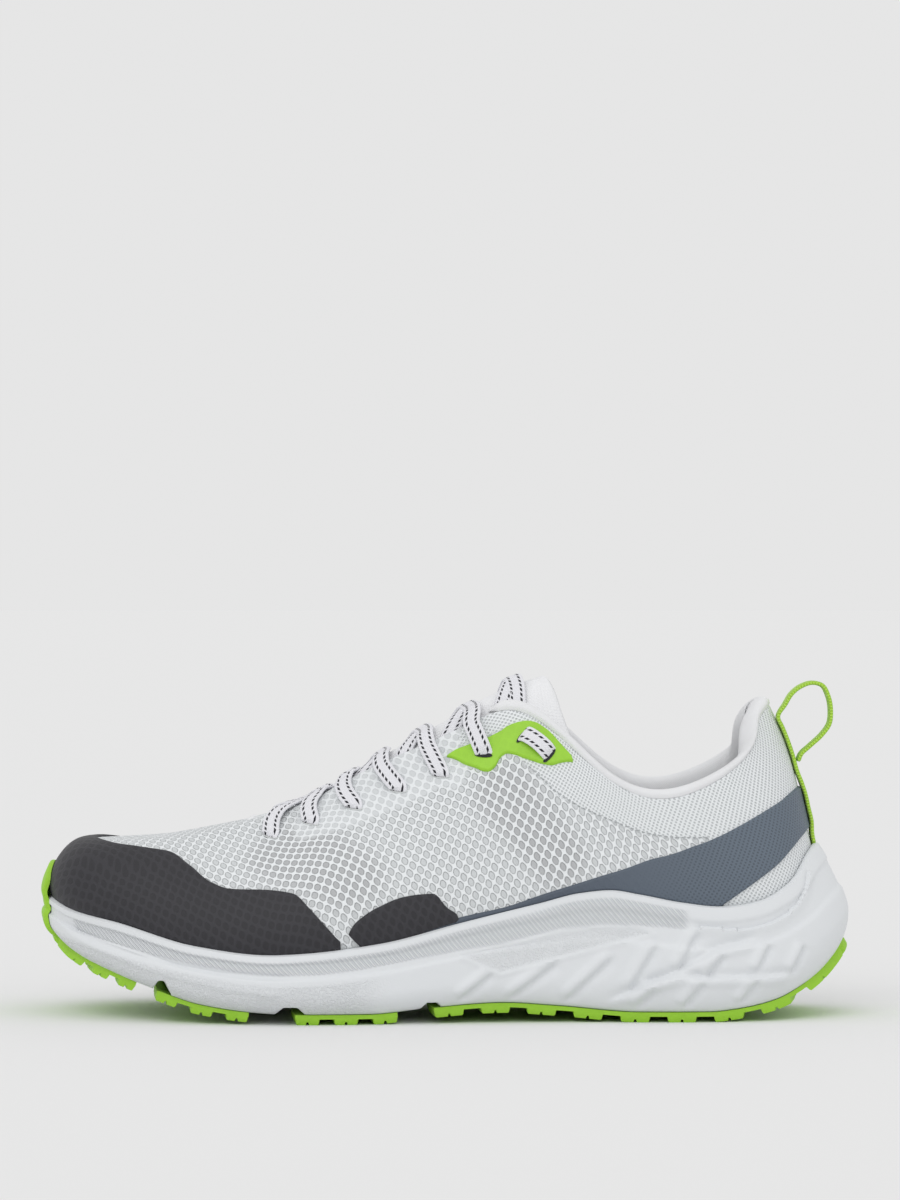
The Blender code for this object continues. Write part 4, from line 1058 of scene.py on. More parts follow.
def dark_bands(stations, shares):
    """Where the dark layer under the mesh shows through, 0 to 1."""
    place = side_place(stations)
    here = cloth(place, shares)
    dark = np.zeros(place.shape)
    for s_a, t_a, s_b, t_b, half in DARK_BANDS:
        a, b = cloth(s_a, t_a), cloth(s_b, t_b)
        along = b - a
        f = np.clip(((here - a) @ along) / (along @ along), 0, 1)
        away = np.linalg.norm(here - a - f[..., None] * along, axis=-1)
        dark = np.maximum(dark, smooth(1.6 - away / half))
    return dark


def build_upper():
    """The upper: a wall of mesh, thin at the throat, with a rolled edge."""
    stations = np.linspace(0, COLUMNS, UPPER_PLACES, endpoint=False)[:, None]
    s, t = np.broadcast_arrays(stations, np.linspace(0, 1, OUTER_ROWS)[None, :])
    outside, normals = surface(s, t), surface_normals(s, t)
    thin = smooth((side_place(s) - 4.9) / 0.4) * smooth((t - 0.55) / 0.15)
    thick = (WALL + (THROAT_WALL - WALL) * thin)[..., None]
    edge, edge_out, half = outside[:, -1], normals[:, -1], thick[:, -1] / 2
    rise = unit(edge - outside[:, -2])
    turns = [edge - edge_out * half * (1 - math.cos(a)) + rise * half * math.sin(a) for a in EDGE_TURNS]
    back = np.linspace(OUTER_ROWS - 1, 0, INNER_ROWS).astype(int)
    inside = (outside - normals * thick)[:, back]
    shell = Shell()
    top = np.ones((len(s), len(EDGE_TURNS)))
    shares = np.concatenate([t, top], axis=1)
    places = np.broadcast_to(stations, shares.shape)
    values = {
        "film": zone(FILM_ZONE, places, shares, 0.014),
        "fine": zone(FINE_ZONE, places, shares, 0.010),
        "dark": dark_bands(places, shares),
    }
    outer = np.concatenate([outside, np.stack(turns, axis=1)], axis=1)
    shell.on_cloth(outer, places, shares, closed=(True, False), values=values)
    inner = np.concatenate([outer[:, -1:], inside, outside[:, :1]], axis=1)
    shares = np.concatenate([top[:, :1], t[:, back], t[:, :1]], axis=1)
    places = np.broadcast_to(stations, shares.shape)
    none = {key: np.zeros(shares.shape) for key in values}
    shell.on_cloth(inner, places, shares, closed=(True, False), values=none, finish=1, inwards=True)
    return shell.make("upper_shell", "mesh lining", "upper_mesh", ["upper"], weld=True)


# Lines moulded in the midsole's side. Places are along the shoe and above the
# ground, in millimetres, as seen on the lateral side.
LIP_GROOVE = (
    (-141.4, 35.9), (-125.3, 29.1), (-110, 24.5), (-95.1, 21.4),
    (-80.5, 18.9), (-66, 17.7), (-51.6, 17.4),
)
LOW_RIDGE = (
    (-141.4, 33.3), (-125.3, 26.2), (-110, 20.9), (-95.1, 17.1),
    (-80.5, 13.9), (-66, 11.9), (-55.2, 10.9),
)
LEAF = (
    (4, 25), (27.5, 29.5), (41.9, 33), (56.4, 34.8),
    (70.8, 34.9), (76.2, 32), (56.4, 27.2), (20.2, 17.6),
)
HEEL_STEP = (
    (92.5, 34.5), (107.1, 33.6), (118.2, 35.2), (125.7, 38.6),
    (131.4, 42.7), (135.3, 47.2), (138.1, 52.5),
)
HATCH_LOW = (
    (-160, 40.0), (-135, 32.0), (-117.6, 27.8), (-102.5, 24.1), (-87.8, 21.2), (-73.2, 18.7), (-58.8, 17.7),
    (-44.4, 18.1), (-30.1, 19.8), (-15.8, 22.4), (-1.4, 25.1), (20.2, 28.5), (41.9, 33.8), (56.4, 35.2),
    (70.8, 35.2), (88.9, 33.8), (160, 33.8),
)
SIDE_RIBS = (
    # from low front to high rear
    ((4, 8.8), (17.4, 19.5)),
    ((21.3, 8.6), (41.9, 24)),
    ((41.9, 7.7), (61.8, 25.8)),
    ((65.4, 11.4), (77.3, 30.2)),
    ((83.5, 18.6), (91.4, 33.8)),
    ((68, 5.6), (76.2, 13.9)),
    ((85.3, 5.6), (93.2, 15.7)),
    ((106.4, 6.9), (112.6, 16.1)),
    ((93.6, 16.4), (100.5, 25.8)),
    ((111.9, 18.3), (117.5, 29)),
    ((124.6, 17.6), (130.3, 28.5)),
)
CROSS_RIBS = (
    ((58.2, 6.7), (74.4, 13.9), (85.3, 18.6), (99.8, 26.5), (114.5, 29.9)),
    ((70.8, 13.9), (85.3, 16.5), (114.5, 16.1), (125.7, 16.8)),
)
SIDE_ROWS = 52
SOLE_CELLS = 14
LIP_SMOOTH = 1.8


def side_columns(stations, ups):
    """Points of the midsole's side at shares of the way up, and level directions out."""
    stations = np.asarray(stations, float)
    share = rim_shares(stations)
    lip, lip_out = surface(stations, share), surface_normals(stations, share)
    lip_out[:, 2] = 0
    lip_out = unit(lip_out)
    belly, out = plan(stations)
    foot = belly - out * EDGE_ROUND
    foot[:, 2] = underside(foot[:, 0])
    belly[:, 2] = HEEL_HEIGHT * ease(BELLY, share_of(belly[:, 0]))
    top = lip + lip_out * (GAP + LIP)
    z = foot[:, 2:] + (top[:, 2] - foot[:, 2])[:, None] * ups[None, :]
    low = np.clip((z - foot[:, 2:]) / (belly[:, 2:] - foot[:, 2:]), 0, 1)
    high = np.clip((z - belly[:, 2:]) / (top[:, 2:] - belly[:, 2:]), 0, 1)
    bulge = np.sqrt(1 - (1 - low) ** 2)[..., None]
    points = foot[:, None] + (belly - foot)[:, None] * bulge
    points += (top - belly)[:, None] * high[..., None] ** 1.35
    points += out[:, None] * ease(STEPS, ups)[None, :, None]
    points[..., 2] = z
    return points, out, lip, lip_out, share


def run_along(places):
    """Length along the sole's outline, in millimetres, from places of the lateral side."""
    fine = np.linspace(0, LAST_STATION, 441)
    outline, _ = plan(fine)
    run = run_of(outline) * 1000
    return np.interp(places, fine, run), outline[:, 0] * 1000, run


def line_distance(run, z, line):
    """Distance to a line, signed to be above it or behind it, and place along it."""
    best = np.full(run.shape, 1e9)
    signed = np.zeros(run.shape)
    place = np.zeros(run.shape)
    for i, (a, b) in enumerate(zip(line[:-1], line[1:])):
        along = b - a
        length = math.hypot(*along)
        f_free = ((run - a[0]) * along[0] + (z - a[1]) * along[1]) / length**2
        f = np.clip(f_free, 0, 1)
        dx, dz = run - a[0] - f * along[0], z - a[1] - f * along[1]
        away = np.hypot(dx, dz)
        closer = away < best
        best = np.where(closer, away, best)
        side = (along[0] * (z - a[1]) - along[1] * (run - a[0])) / length
        signed = np.where(closer, np.sign(side) * away, signed)
        place = np.where(closer, (i + f) / (len(line) - 1), place)
    return best, signed, place


def to_runs(line, xs, runs):
    """A line's places as length along the outline and height."""
    line = np.array(line, float)
    return np.stack([np.interp(line[:, 0], xs[::-1], runs[::-1]), line[:, 1]], axis=1)


def tapered(place, share):
    """1 along a line, easing to 0 at both its ends."""
    return smooth(place / share) * smooth((1 - place) / share)


def inside_line(run, z, line):
    """Whether points lie inside a closed line."""
    count = np.zeros(run.shape, int)
    for a, b in zip(line, np.roll(line, -1, axis=0)):
        crosses = (a[1] > z) != (b[1] > z)
        at = a[0] + (z - a[1]) / (b[1] - a[1] + 1e-12) * (b[0] - a[0])
        count += crosses & (run < at)
    return count % 2 == 1


def sculpt(run, z, top, xs, runs):
    """How far the midsole's side stands out, and where it is hatched or pebbled."""
    def near(line):
        return line_distance(run, z, to_runs(line, xs, runs))

    out, ribs = np.zeros(run.shape), np.zeros(run.shape)
    for line, high, wide in ((LIP_GROOVE, -0.8, 0.9), (LOW_RIDGE, 0.7, 1.5)):
        away, _, place = near(line)
        out += high * np.exp(-((away / wide) ** 2)) * tapered(place, 0.1)
    for lines, swell, ends in ((SIDE_RIBS, -1.1, 0.18), (CROSS_RIBS, 0.9, 0.1)):
        for line in lines:
            away, signed, place = near(line)
            shape = signed / 1.5 * np.exp(0.5 - (away / 1.5) ** 2 / 2)
            ribs += (swell * shape + 0.6 * np.exp(-((away / 0.75) ** 2))) * tapered(place, ends)
    away, signed, _ = near(HEEL_STEP)
    out += np.where(signed > 0, np.exp(-((away / 2.6) ** 2)), -0.6 * np.exp(-((away / 1.3) ** 2)))
    leaf = to_runs(LEAF, xs, runs)
    away, _, _ = line_distance(run, z, np.concatenate([leaf, leaf[:1]]))
    inside = inside_line(run, z, leaf)
    out += 0.35 * np.exp(-((away / 0.8) ** 2)) - 0.25 * inside * smooth(away / 1.2)
    low = to_runs(HATCH_LOW, xs, runs)
    order = np.argsort(low[:, 0])
    bound = np.interp(run, low[order, 0], low[order, 1])
    x = np.interp(run, runs, xs)
    hatch = smooth((z - bound) / 0.8) * smooth((top - LIP_SMOOTH - z) / 0.6)
    hatch *= smooth((x + 136) / 3) * smooth((90 - x) / 4)
    pebble = smooth((bound - 2.5 - z) / 2) * smooth((-15 - x) / 20)
    pebble = np.maximum(inside * smooth(away / 2.0) * 0.8, pebble)
    return (out + ribs * (1 - hatch)) / 1000, hatch, pebble


def flex_floor(points):
    """Height of the flex grooves' roofs over the ground, low where there is none."""
    floor = np.full(points.shape[:-1], -1.0)
    for middle, half in GROOVES:
        x = LENGTH * (0.5 - middle)
        reach = LENGTH * half
        away = np.abs(points[..., 0] - x + points[..., 1] * GROOVE_SLANT)
        f = np.clip((reach * 1.4 - away) / (reach * 1.05), 0, 1)
        roof = float(underside(x)) - LUG * 2 + (GROOVE_DEPTH + LUG * 2) * f
        floor = np.maximum(floor, np.where(f > 0, roof, -1.0))
    return floor


def build_midsole():
    """The midsole: a foam cup with a sculpted side, a lip and flex grooves."""
    count = MIDSOLE_PLACES
    stations = np.linspace(0, COLUMNS, count, endpoint=False)
    place = side_place(stations)
    ups = np.linspace(0, 1, SIDE_ROWS)
    side, out, lip, lip_out, share = side_columns(stations, ups)
    side_run, xs, runs = run_along(place)
    run = np.broadcast_to(side_run[:, None], side.shape[:2])
    top = side[:, -1:, 2] * 1000
    stand, hatch, pebble = sculpt(run, side[..., 2] * 1000, top, xs, runs)
    fade = smooth(ups / 0.10) * smooth((1 - ups) / 0.05)
    side += out[:, None] * (stand * fade)[..., None]
    rows = np.arange(SIDE_ROWS) * 2e-5
    side[..., 2] = np.maximum(side[..., 2], flex_floor(side) + rows)
    crest = [lip + lip_out * (GAP + LIP * f) for f in (0.88, 0.62, 0.30)]
    for ring, up in zip(crest, (0.55, 1.0, 0.9)):
        ring[:, 2] += LIP_ROUND * up
    inner = []
    for f in np.linspace(0, 1, 6):
        play = GAP + CUP_PLAY * min(1.0, f * 3)
        at = share * (1 - f)
        inner.append(surface(stations, at) + surface_normals(stations, at) * play)
    insets = round_weights(stations) @ INSETS - GAP - CUP_PLAY
    last, _ = plan(stations, insets)
    last[:, 2] = footbed(last[:, 0])
    grid = np.concatenate([side, np.stack(crest + inner + [last], axis=1)], axis=1)
    extra = grid.shape[1] - SIDE_ROWS
    pad = np.zeros((count, extra))
    values = {
        "hatch": np.concatenate([hatch * fade, pad], axis=1),
        "pebble": np.concatenate([pebble, pad], axis=1),
    }
    along = np.broadcast_to(side_run[:, None], grid.shape[:2])
    uv = np.stack([along, grid[..., 2] * 1000], axis=-1)
    shell = Shell()
    shell.grid(grid, uv, (0, 0, 0.02), closed=(True, False), values=values)
    for ring, height, away in ((side[:, 0], underside, 1.0), (last, footbed, -1.0)):
        bed = across_ring(ring, np.linspace(0, 1, SOLE_CELLS + 1))
        bed[:, 1:-1, 2] = height(bed[:, 1:-1, 0])
        if height is underside:
            bed[..., 2] = np.maximum(bed[..., 2], flex_floor(bed))
        shell.flat(bed, (0, 0, away), values={key: np.zeros(bed.shape[:2]) for key in values})
    return shell.make("midsole_foam", "foam", "midsole_foam", ["midsole"], weld=True, sharp=38)


def border_roll(away, edge=FILM_EDGE):
    """Height of a film at a distance from its border, as a share of its full height."""
    return np.sqrt(1 - (1 - np.clip(away / edge, 0, 1)) ** 2)


def dense_ends(count, low=True, high=True):
    """Places from 0 to 1 that crowd towards one or both ends."""
    f = np.linspace(0, 1, count)
    if low and high:
        return f - np.sin(2 * math.pi * f) / (2 * math.pi) * 0.9
    return 1 - (1 - f) ** 1.6


def build_film(name, node, rows, finish, slot, side=1, through=False, ends=260, cells=56,
               height=FILM_HEIGHT, corner=0.0, lean=0.0):
    """A welded film between two borders, rolled down to the mesh along them."""
    table = [(r[0], 0.0 if r[1] is None else r[1], r[2]) for r in rows]
    first, last = rows[0][0], rows[-1][0]
    if through and first == 0.0:
        stations = -last + 2 * last * dense_ends(ends)
    elif through:
        stations = first + (COLUMNS - 2 * first) * dense_ends(ends)
    else:
        stations = first + (last - first) * dense_ends(ends)
    place = side_place(stations)
    at = stations if side > 0 else COLUMNS - stations
    low, high = ease(table, place), ease(table, place, 2)
    floor = rim_shares(at, LIP_ROUND * 0.4)
    low = np.maximum(low, floor)
    end = np.minimum(np.abs(stations - stations[0]), np.abs(stations[-1] - stations))
    if corner:
        f = np.clip(end / corner, 0, 1)
        high = high - (1 - np.sqrt(1 - (1 - f) ** 2)) * corner * 0.5
    high = np.maximum(high, low + 0.004)
    t = dense_ends(cells)[None, :]
    shares = low[:, None] + (high - low)[:, None] * t
    ahead = np.clip((place - first) / (last - first), 0, 1) ** 3 * lean
    spread = at[:, None] - side * ahead[:, None] * (1 - t)
    points, out = surface(spread, shares), surface_normals(spread, shares)
    up, over = run_of(points, 1), run_of(points)
    away = np.minimum(np.minimum(up, up[:, -1:] - up), np.minimum(over, over[-1:] - over))
    grid = points + out * (border_roll(away) * (height + 0.0002) - 0.0002)[..., None]
    rear = smooth((4.9 - side_place(spread)) / 3.2)
    shell = Shell()
    shell.on_cloth(grid, spread, shares, values={"rear": rear})
    return shell.make(name, finish, slot, [node])


def build_collar():
    """The padded collar: a soft roll on the edge and its lining inside."""
    stations = np.linspace(-COLLAR_END, COLLAR_END, COLLAR_ROWS)
    thin = smooth((np.abs(stations) - PAD_END) / (BEAD_START - PAD_END))
    table = np.array(ROLL)
    outs = table[:, 0] + (table[:, 2] - table[:, 0]) * thin[:, None]
    ups = table[:, 1] + (table[:, 3] - table[:, 1]) * thin[:, None]
    outs = outs - smooth(1 - np.abs(stations) / 3.4)[:, None] * np.array(HEEL_SWELL)
    spread = np.broadcast_to(stations[:, None], outs.shape)
    points, normals, _ = wall_frames(spread, ups)
    rings = points + normals * outs[..., None]
    front = resample(rings[:, :ROLL_FRONT], 40, 1)
    rings = np.concatenate([front, rings[:, ROLL_FRONT:]], axis=1)
    tip = smooth(np.minimum(np.arange(COLLAR_ROWS), np.arange(COLLAR_ROWS)[::-1]) / 6)[:, None, None]
    centre = rings[:, :34].mean(axis=1, keepdims=True)
    rings = centre + (rings - centre) * (0.25 + 0.75 * tip)
    uv = np.stack(np.broadcast_arrays(run_of(points[:, :1]), run_of(rings, 1)), axis=-1) * 1000
    shell = Shell()
    shell.tube(rings, uv)
    made = shell.make("collar_pad", "lining", "lining", ["collar_lining"])
    return made


def tongue_net():
    """Points of the tongue's top, as in the part's source, from its tip to its end."""
    tip = np.linspace(TONGUE_FRONT + 0.15, COLUMNS - TONGUE_FRONT - 0.15, 13)
    under = -float(tongue_depth(LAST_STATION))
    rows = []
    for f in (0.9, 0.4):
        points, out, _ = wall_frames(tip, -f * TONGUE_TUCK)
        rows.append(points + out * (under - TIP_SINK * f))
    for station in np.linspace(TONGUE_FRONT, TONGUE_REAR, 10):
        depth = float(tongue_depth(station))
        near, near_out, _ = wall_frames(station, -np.array([1.0, 0.5, 0.08]) * TONGUE_TUCK)
        far, far_out, _ = wall_frames(COLUMNS - station, -np.array([0.08, 0.5, 1.0]) * TONGUE_TUCK)
        middle = bridge(station, np.linspace(-0.84, 0.84, 7))
        rows.append(np.concatenate([near - near_out * depth, middle, far - far_out * depth]))
    last = rows[-1]
    centre = last.mean(axis=0)
    side = np.clip(np.abs(np.linspace(-1, 1, 13)) / 0.8, 0, 1) ** 1.3
    sweep = side[:, None] * np.array(TONGUE_SWEEP) + (1 - side[:, None]) * np.array(TONGUE_LIFT)
    for f in (0.5, 1.0):
        narrow = 1 - np.array([0.0, TONGUE_NARROW * f, 0.0])
        rows.append((last - centre) * narrow + centre + (np.array(TONGUE_RISE) + sweep) * f)
    return np.array(rows)


def build_tongue():
    """The padded tongue, full between the laces and rounded at its edges."""
    grid = resample(resample(tongue_net(), TONGUE_ROWS, 0), TONGUE_COLUMNS, 1)
    rows = np.linspace(0, 1, TONGUE_ROWS)[:, None]
    across = np.linspace(-1, 1, TONGUE_COLUMNS)[None, :]
    middle = TONGUE_COLUMNS // 2
    side = np.sqrt(1 - np.clip((np.abs(across) - 0.90) / 0.10, 0, 1) ** 2)
    end = np.sqrt(1 - np.clip((rows - 0.955) / 0.045, 0, 1) ** 2)
    end = end * np.sqrt(1 - np.clip((0.05 - rows) / 0.05, 0, 1) ** 2)
    full = np.maximum(side * end, 0.02)
    top = -TONGUE_PAD * 0.5 * (1 - full)
    bottom = -TONGUE_PAD + TONGUE_PAD * 0.5 * (1 - full)
    if grid_normals(grid)[TONGUE_ROWS // 2, middle, 2] < 0:
        grid = grid[:, ::-1]
    rings = thickened(grid, top, bottom)
    uv = np.stack(np.broadcast_arrays(run_of(grid[:, middle : middle + 1]), run_of(rings, 1)), axis=-1) * 1000
    shell = Shell()
    shell.tube(rings, uv)
    made = shell.make("tongue_pad", "tongue", "lining", ["tongue"])
    return made


def build_insole():
    """The insole: a thin pad that follows the footbed, with rounded edges."""
    stations = np.linspace(0, COLUMNS, INSOLE_PLACES, endpoint=False)
    inset = round_weights(stations) @ INSETS + WALL + INSOLE_PLAY
    loop, _ = plan(stations, inset)
    half = INSOLE_PLACES // 2
    places = np.sin(np.linspace(-1, 1, 41) * math.pi / 2)
    bed = across_ring(loop, (places + 1) / 2)
    bed[..., 2] = footbed(bed[..., 0])
    full = np.sqrt(np.clip(1 - places**2, 0, 1)) ** 0.35
    rows = np.minimum(np.arange(half + 1), np.arange(half + 1)[::-1]) / 8
    full = np.maximum(full[None, :] * np.minimum(rows, 1)[:, None] ** 0.5, 0.02)
    middle = GAP + (INSOLE + INSOLE_LIFT) / 2
    thick = (INSOLE - INSOLE_LIFT) / 2
    upper, lower = bed.copy(), bed.copy()
    upper[..., 2] += middle + thick * full
    lower[..., 2] += middle - thick * full
    rings = np.concatenate([upper, lower[:, ::-1]], axis=1)
    shell = Shell()
    shell.flat(rings, rings.mean(axis=1), closed=(False, True))
    made = shell.make("insole_pad", "sock", "insole_foam", ["insole"], weld=True)
    return made


def lace_off(stations, reach):
    """How far a lace's middle lies off the tongue, rising over the wall's edge."""
    low = GAP * 2 + LACE_THICKNESS / 2
    over = tongue_depth(stations) - WALL + THROAT_WALL * 2 + GAP + LACE_THICKNESS / 2
    return low + (over - low) * smooth((np.asarray(reach) - 0.40) / 0.35)


def at_wall(station, side, up, off, sign, face="out"):
    """A row of a lace's path: its place off the wall and its facing direction."""
    at = station if side < 0 else COLUMNS - station
    point, out, rise = (v[()] for v in wall_frames(at, up))
    along = np.cross(out, rise) * (1 if side < 0 else -1)
    facing = {"out": out, "rise": rise, "along": along}[face]
    return np.concatenate([point + out * off, sign * facing])


def fold_of(eyelet):
    """Station where a lace folds over the throat's edge."""
    return eyelet[0] + (eyelet[2] - eyelet[0]) * LACE_FOLD


def lace_over(eyelet, side, sign, film):
    """Rows from the throat's edge down to an eyelet, on the outside."""
    station, down, _ = eyelet
    edge = fold_of(eyelet)
    over = GAP + LACE_THICKNESS / 2 + film
    rows = []
    for f in (0.15, 0.40, 0.70, 0.90):
        at = station + (edge - station) * (1 - f)
        off = over + LACE_ARCH * 4 * f * (1 - f)
        rows.append(at_wall(at, side, -down * f, off, sign))
    return rows


def lace_through(eyelet, side, sign, edge):
    """Rows down through an eyelet and back up inside the wall to the throat's edge."""
    station, down, _ = eyelet
    inner = THROAT_WALL + LACE_HIDDEN
    rows = [
        at_wall(station, side, -down - 0.0004, LACE_THICKNESS * 0.55, sign),
        at_wall(station, side, -down - 0.0013, -THROAT_WALL * 0.5, -sign, "rise"),
        at_wall(station, side, -down - 0.0002, -inner - 0.0004, -sign),
    ]
    for f in (0.75, 0.45, 0.15):
        at = station + (edge - station) * (1 - f)
        rows.append(at_wall(at, side, -down * f, -inner, -sign))
    return rows


def tongue_row(station, across, off, sign=1):
    """A row of a lace's path over the tongue."""
    point, out = over_tongue(station, across, off)
    return np.concatenate([point, out * sign])


def lace_cross(first, last, side, sign):
    """Rows over the tongue from one edge to the other, ending on a side."""
    rows = []
    for c in (-0.80, -0.55, -0.28, 0.0, 0.28, 0.55, 0.80):
        station = first + (last - first) * (c + 1) / 2
        lift = LACE_THICKNESS * 0.62 * float(smooth(1 - abs(c) / 0.6)) * (1 if side < 0 else -0.15)
        off = float(lace_off(station, c)) + lift
        rows.append(tongue_row(station, c * side, off, sign))
    return rows


def build_lace():
    """One flat lace through all the eyelets, joined at the middle of its front bar."""
    shell = Shell()
    for side in (-1, 1):
        sign, rows, now = 1, [], side
        bar = fold_of(EYELETS[0])
        for c in (0.0, 0.30, 0.55, 0.80):
            rows.append(tongue_row(bar, c * side, float(lace_off(bar, 1.0))))
        rows += lace_over(EYELETS[0], now, sign, 0.0)
        for i in range(5):
            edge = fold_of(EYELETS[i]) - LACE_START
            rows += lace_through(EYELETS[i], now, sign, edge)
            sign, now = -sign, -now
            rows += lace_cross(edge, fold_of(EYELETS[i + 1]), now, sign)
            raised = FILM_HEIGHT if EYELETS[i + 1][0] < PATCH[-1][0] - PATCH_REACH else 0.0
            rows += lace_over(EYELETS[i + 1], now, sign, raised)
        rows += lace_through(EYELETS[5], now, sign, TOP_CROSSING[0] + 0.05)[:-1]
        sign, now = -sign, -now
        deep = float(tongue_depth(TOP_CROSSING[1]))
        for c in (-0.97, -0.76, -0.45, -0.15, 0.15, 0.45, 0.76, 0.97):
            station = TOP_CROSSING[0] + (TOP_CROSSING[1] - TOP_CROSSING[0]) * (c + 1) / 2
            off = float(lace_off(station, 0.0)) * (1.0 if abs(c) < 0.8 else 0.6)
            off += LACE_THICKNESS * 0.6 * float(smooth(1 - abs(c) / 0.6)) * (now < 0)
            rows.append(tongue_row(station, c * now, off, sign))
        a, b = EYELETS[6], EYELETS[7]
        outside = FILM_HEIGHT + GAP + LACE_THICKNESS / 2
        bar = unit(at_wall(b[0], now, -b[1], 0, 1)[:3] - at_wall(a[0], now, -a[1], 0, 1)[:3]) * sign
        rows += [
            at_wall(5.13, now, -0.0040, -deep + 0.0006, sign),
            at_wall(5.08, now, -0.0078, -0.0026, sign),
            at_wall(a[0] + 0.02, now, -a[1], -0.0006, -sign, "along"),
            at_wall(a[0] - 0.03, now, -a[1] - 0.0001, outside, sign),
            at_wall((a[0] + b[0]) / 2, now, -(a[1] + b[1]) / 2, outside + 0.0009, sign),
            at_wall(b[0] + 0.03, now, -b[1], outside, sign),
            at_wall(b[0] - 0.02, now, -b[1], -0.0006, sign, "along"),
            at_wall(b[0] + 0.05, now, -b[1] - 0.0006, -WALL - 0.0010, -sign),
        ]
        rows = np.array(rows)
        rows[-6, 3:], rows[-2, 3:] = -bar, bar
        add_band(shell, smooth_path(rows, LACE_STEP), LACE_WIDTH, LACE_THICKNESS)
    nodes = [f"lace_crossing_{i}" for i in range(1, 7)]
    nodes += ["lace_bar", "lace_bar_lateral", "lace_bar_medial"]
    return shell.make("lace_run", "lace", "lace", nodes)


def oval(first, second, count):
    """Points round an oval that is spanned by two directions."""
    turn = np.linspace(0, 2 * math.pi, count, endpoint=False)[:, None]
    return np.cos(turn) * first + np.sin(turn) * second


def add_ring(shell, centre, out, long_way, size, radius, around=28, section=8):
    """Adds a small ring, long_way being the direction of its longer size."""
    ring = centre + oval(long_way * size[0], np.cross(out, long_way) * size[1], around)
    grid = ring[:, None] + radius * oval(unit(ring - centre)[:, None], out, section)
    shell.flat(grid, ring, closed=(True, True))


def build_eyelets():
    """The slots of the eyelets: a rim, and a dark sheet in the opening that is painted shadow."""
    rims, holes = Shell(), Shell()
    for side in (-1, 1):
        for k, (station, down, _) in enumerate(EYELETS):
            at = station if side < 0 else COLUMNS - station
            film = FILM_HEIGHT if station < PATCH[-1][0] - PATCH_REACH and k >= 5 else 0.0
            point, out, rise = (v[()] for v in wall_frames(at, -down - 0.0010))
            along = np.cross(out, rise)
            if k >= 6:
                ends = [wall_frames(e[0] if side < 0 else COLUMNS - e[0], -e[1])[0] for e in EYELETS[6:8]]
                along = np.cross(out, unit(ends[1] - ends[0]))
            centre = point + out * (film + 0.00015)
            if k < 5:
                add_ring(rims, centre, out, along, (EYELET_LENGTH, EYELET_HEIGHT), 0.0003)
            across = np.cross(out, along)
            # A dark sheet over the slot: painted shadow in the opening.
            outline = oval(along * EYELET_LENGTH, across * EYELET_HEIGHT, 28)
            grid = centre + out * 0.0001 + outline[:, None] * np.array([0.05, 0.5, 0.97])[None, :, None]
            holes.flat(grid, centre - out, closed=(True, False))
    rims.make("eyelet_rims", "rim", "film_lime")
    return holes.make("eyelet_slot_shadows", "hole", "film_charcoal")


def build_pull_loop():
    """The webbing up the heel and the loop that it ends in, as one strip."""
    low = float(rim_shares([0.0], LIP_ROUND - 0.001)[0])
    shares = np.linspace(low, LOOP_TOP, 12)
    zero = np.zeros(12)
    points, out = surface(zero, shares), surface_normals(zero, shares)
    film = FILM_HEIGHT * smooth((0.665 - shares) / 0.03) * smooth((shares - 0.45) / 0.03)
    off = film + LOOP_THICKNESS / 2 + 0.0001
    leg = np.concatenate([points + out * off[:, None], out], axis=1)
    places = np.array([(x, 0.0, z) for x, z in LOOP_SHAPE]) / 1000
    turn = np.gradient(places, axis=0)
    facing = unit(np.stack([turn[:, 2], 0 * turn[:, 2], -turn[:, 0]], axis=1))
    shell = Shell()
    strip = np.concatenate([leg, np.concatenate([places, facing], axis=1)])
    add_band(shell, smooth_path(strip, LOOP_STEP), LOOP_WIDTH, LOOP_THICKNESS, bluff=0.5)
    return shell.make("pull_webbing", "webbing", "webbing_lime", ["pull_loop"])


def add_stitch(shell, start, end, out, radius):
    """Adds one thread lying on the surface, its ends dipping in."""
    wide = np.cross(unit(end - start), out)
    f = np.array([0.0, 0.12, 0.5, 0.88, 1.0])
    lift = np.array([-1.2, 0.2, 0.7, 0.2, -1.2]) * radius
    thick = np.array([0.5, 0.95, 1.0, 0.95, 0.5]) * radius
    middle = start + f[:, None] * (end - start) + lift[:, None] * out
    grid = middle[:, None] + thick[:, None, None] * oval(wide, out, 6)
    shell.flat(grid, middle, closed=(False, True))


def stitch_line(shell, places, shares, side):
    """Adds threads along a line of the wall given by stations and shares."""
    fine = np.linspace(0, len(places) - 1, 600)
    s = np.interp(fine, np.arange(len(places)), places)
    t = np.interp(fine, np.arange(len(shares)), shares)
    at = s if side > 0 else COLUMNS - s
    points, out = surface(at, t), surface_normals(at, t)
    run = run_of(points)
    for k in range(int(run[-1] / STITCH_PITCH)):
        first = k * STITCH_PITCH
        i = int(np.searchsorted(run, first))
        start, end = points_at([first, first + STITCH_LENGTH], run, points) + out[i] * STITCH_OFF
        add_stitch(shell, start, end, out[i], STITCH_RADIUS)


def build_stitches():
    """Threads along the seam of the quarter's fine mesh, on both sides, painted grey as painted shade."""
    shell = Shell()
    places = np.linspace(2.66, 4.93, 60)
    shares = ease(FINE_ZONE, places) + 0.012
    for side in (1, -1):
        stitch_line(shell, places, shares, side)
    return shell.make("quarter_stitches", "thread", "upper_mesh")


def tread_points(x, y, depth):
    """Points under the midsole, at a depth off its underside."""
    x, y, depth = np.broadcast_arrays(x, y, depth)
    step = 1e-4
    slope = (underside(x + step) - underside(x - step)) / (2 * step)
    long = np.hypot(slope, 1.0)
    return np.stack([x + slope / long * depth, y, underside(x) - depth / long], axis=-1)


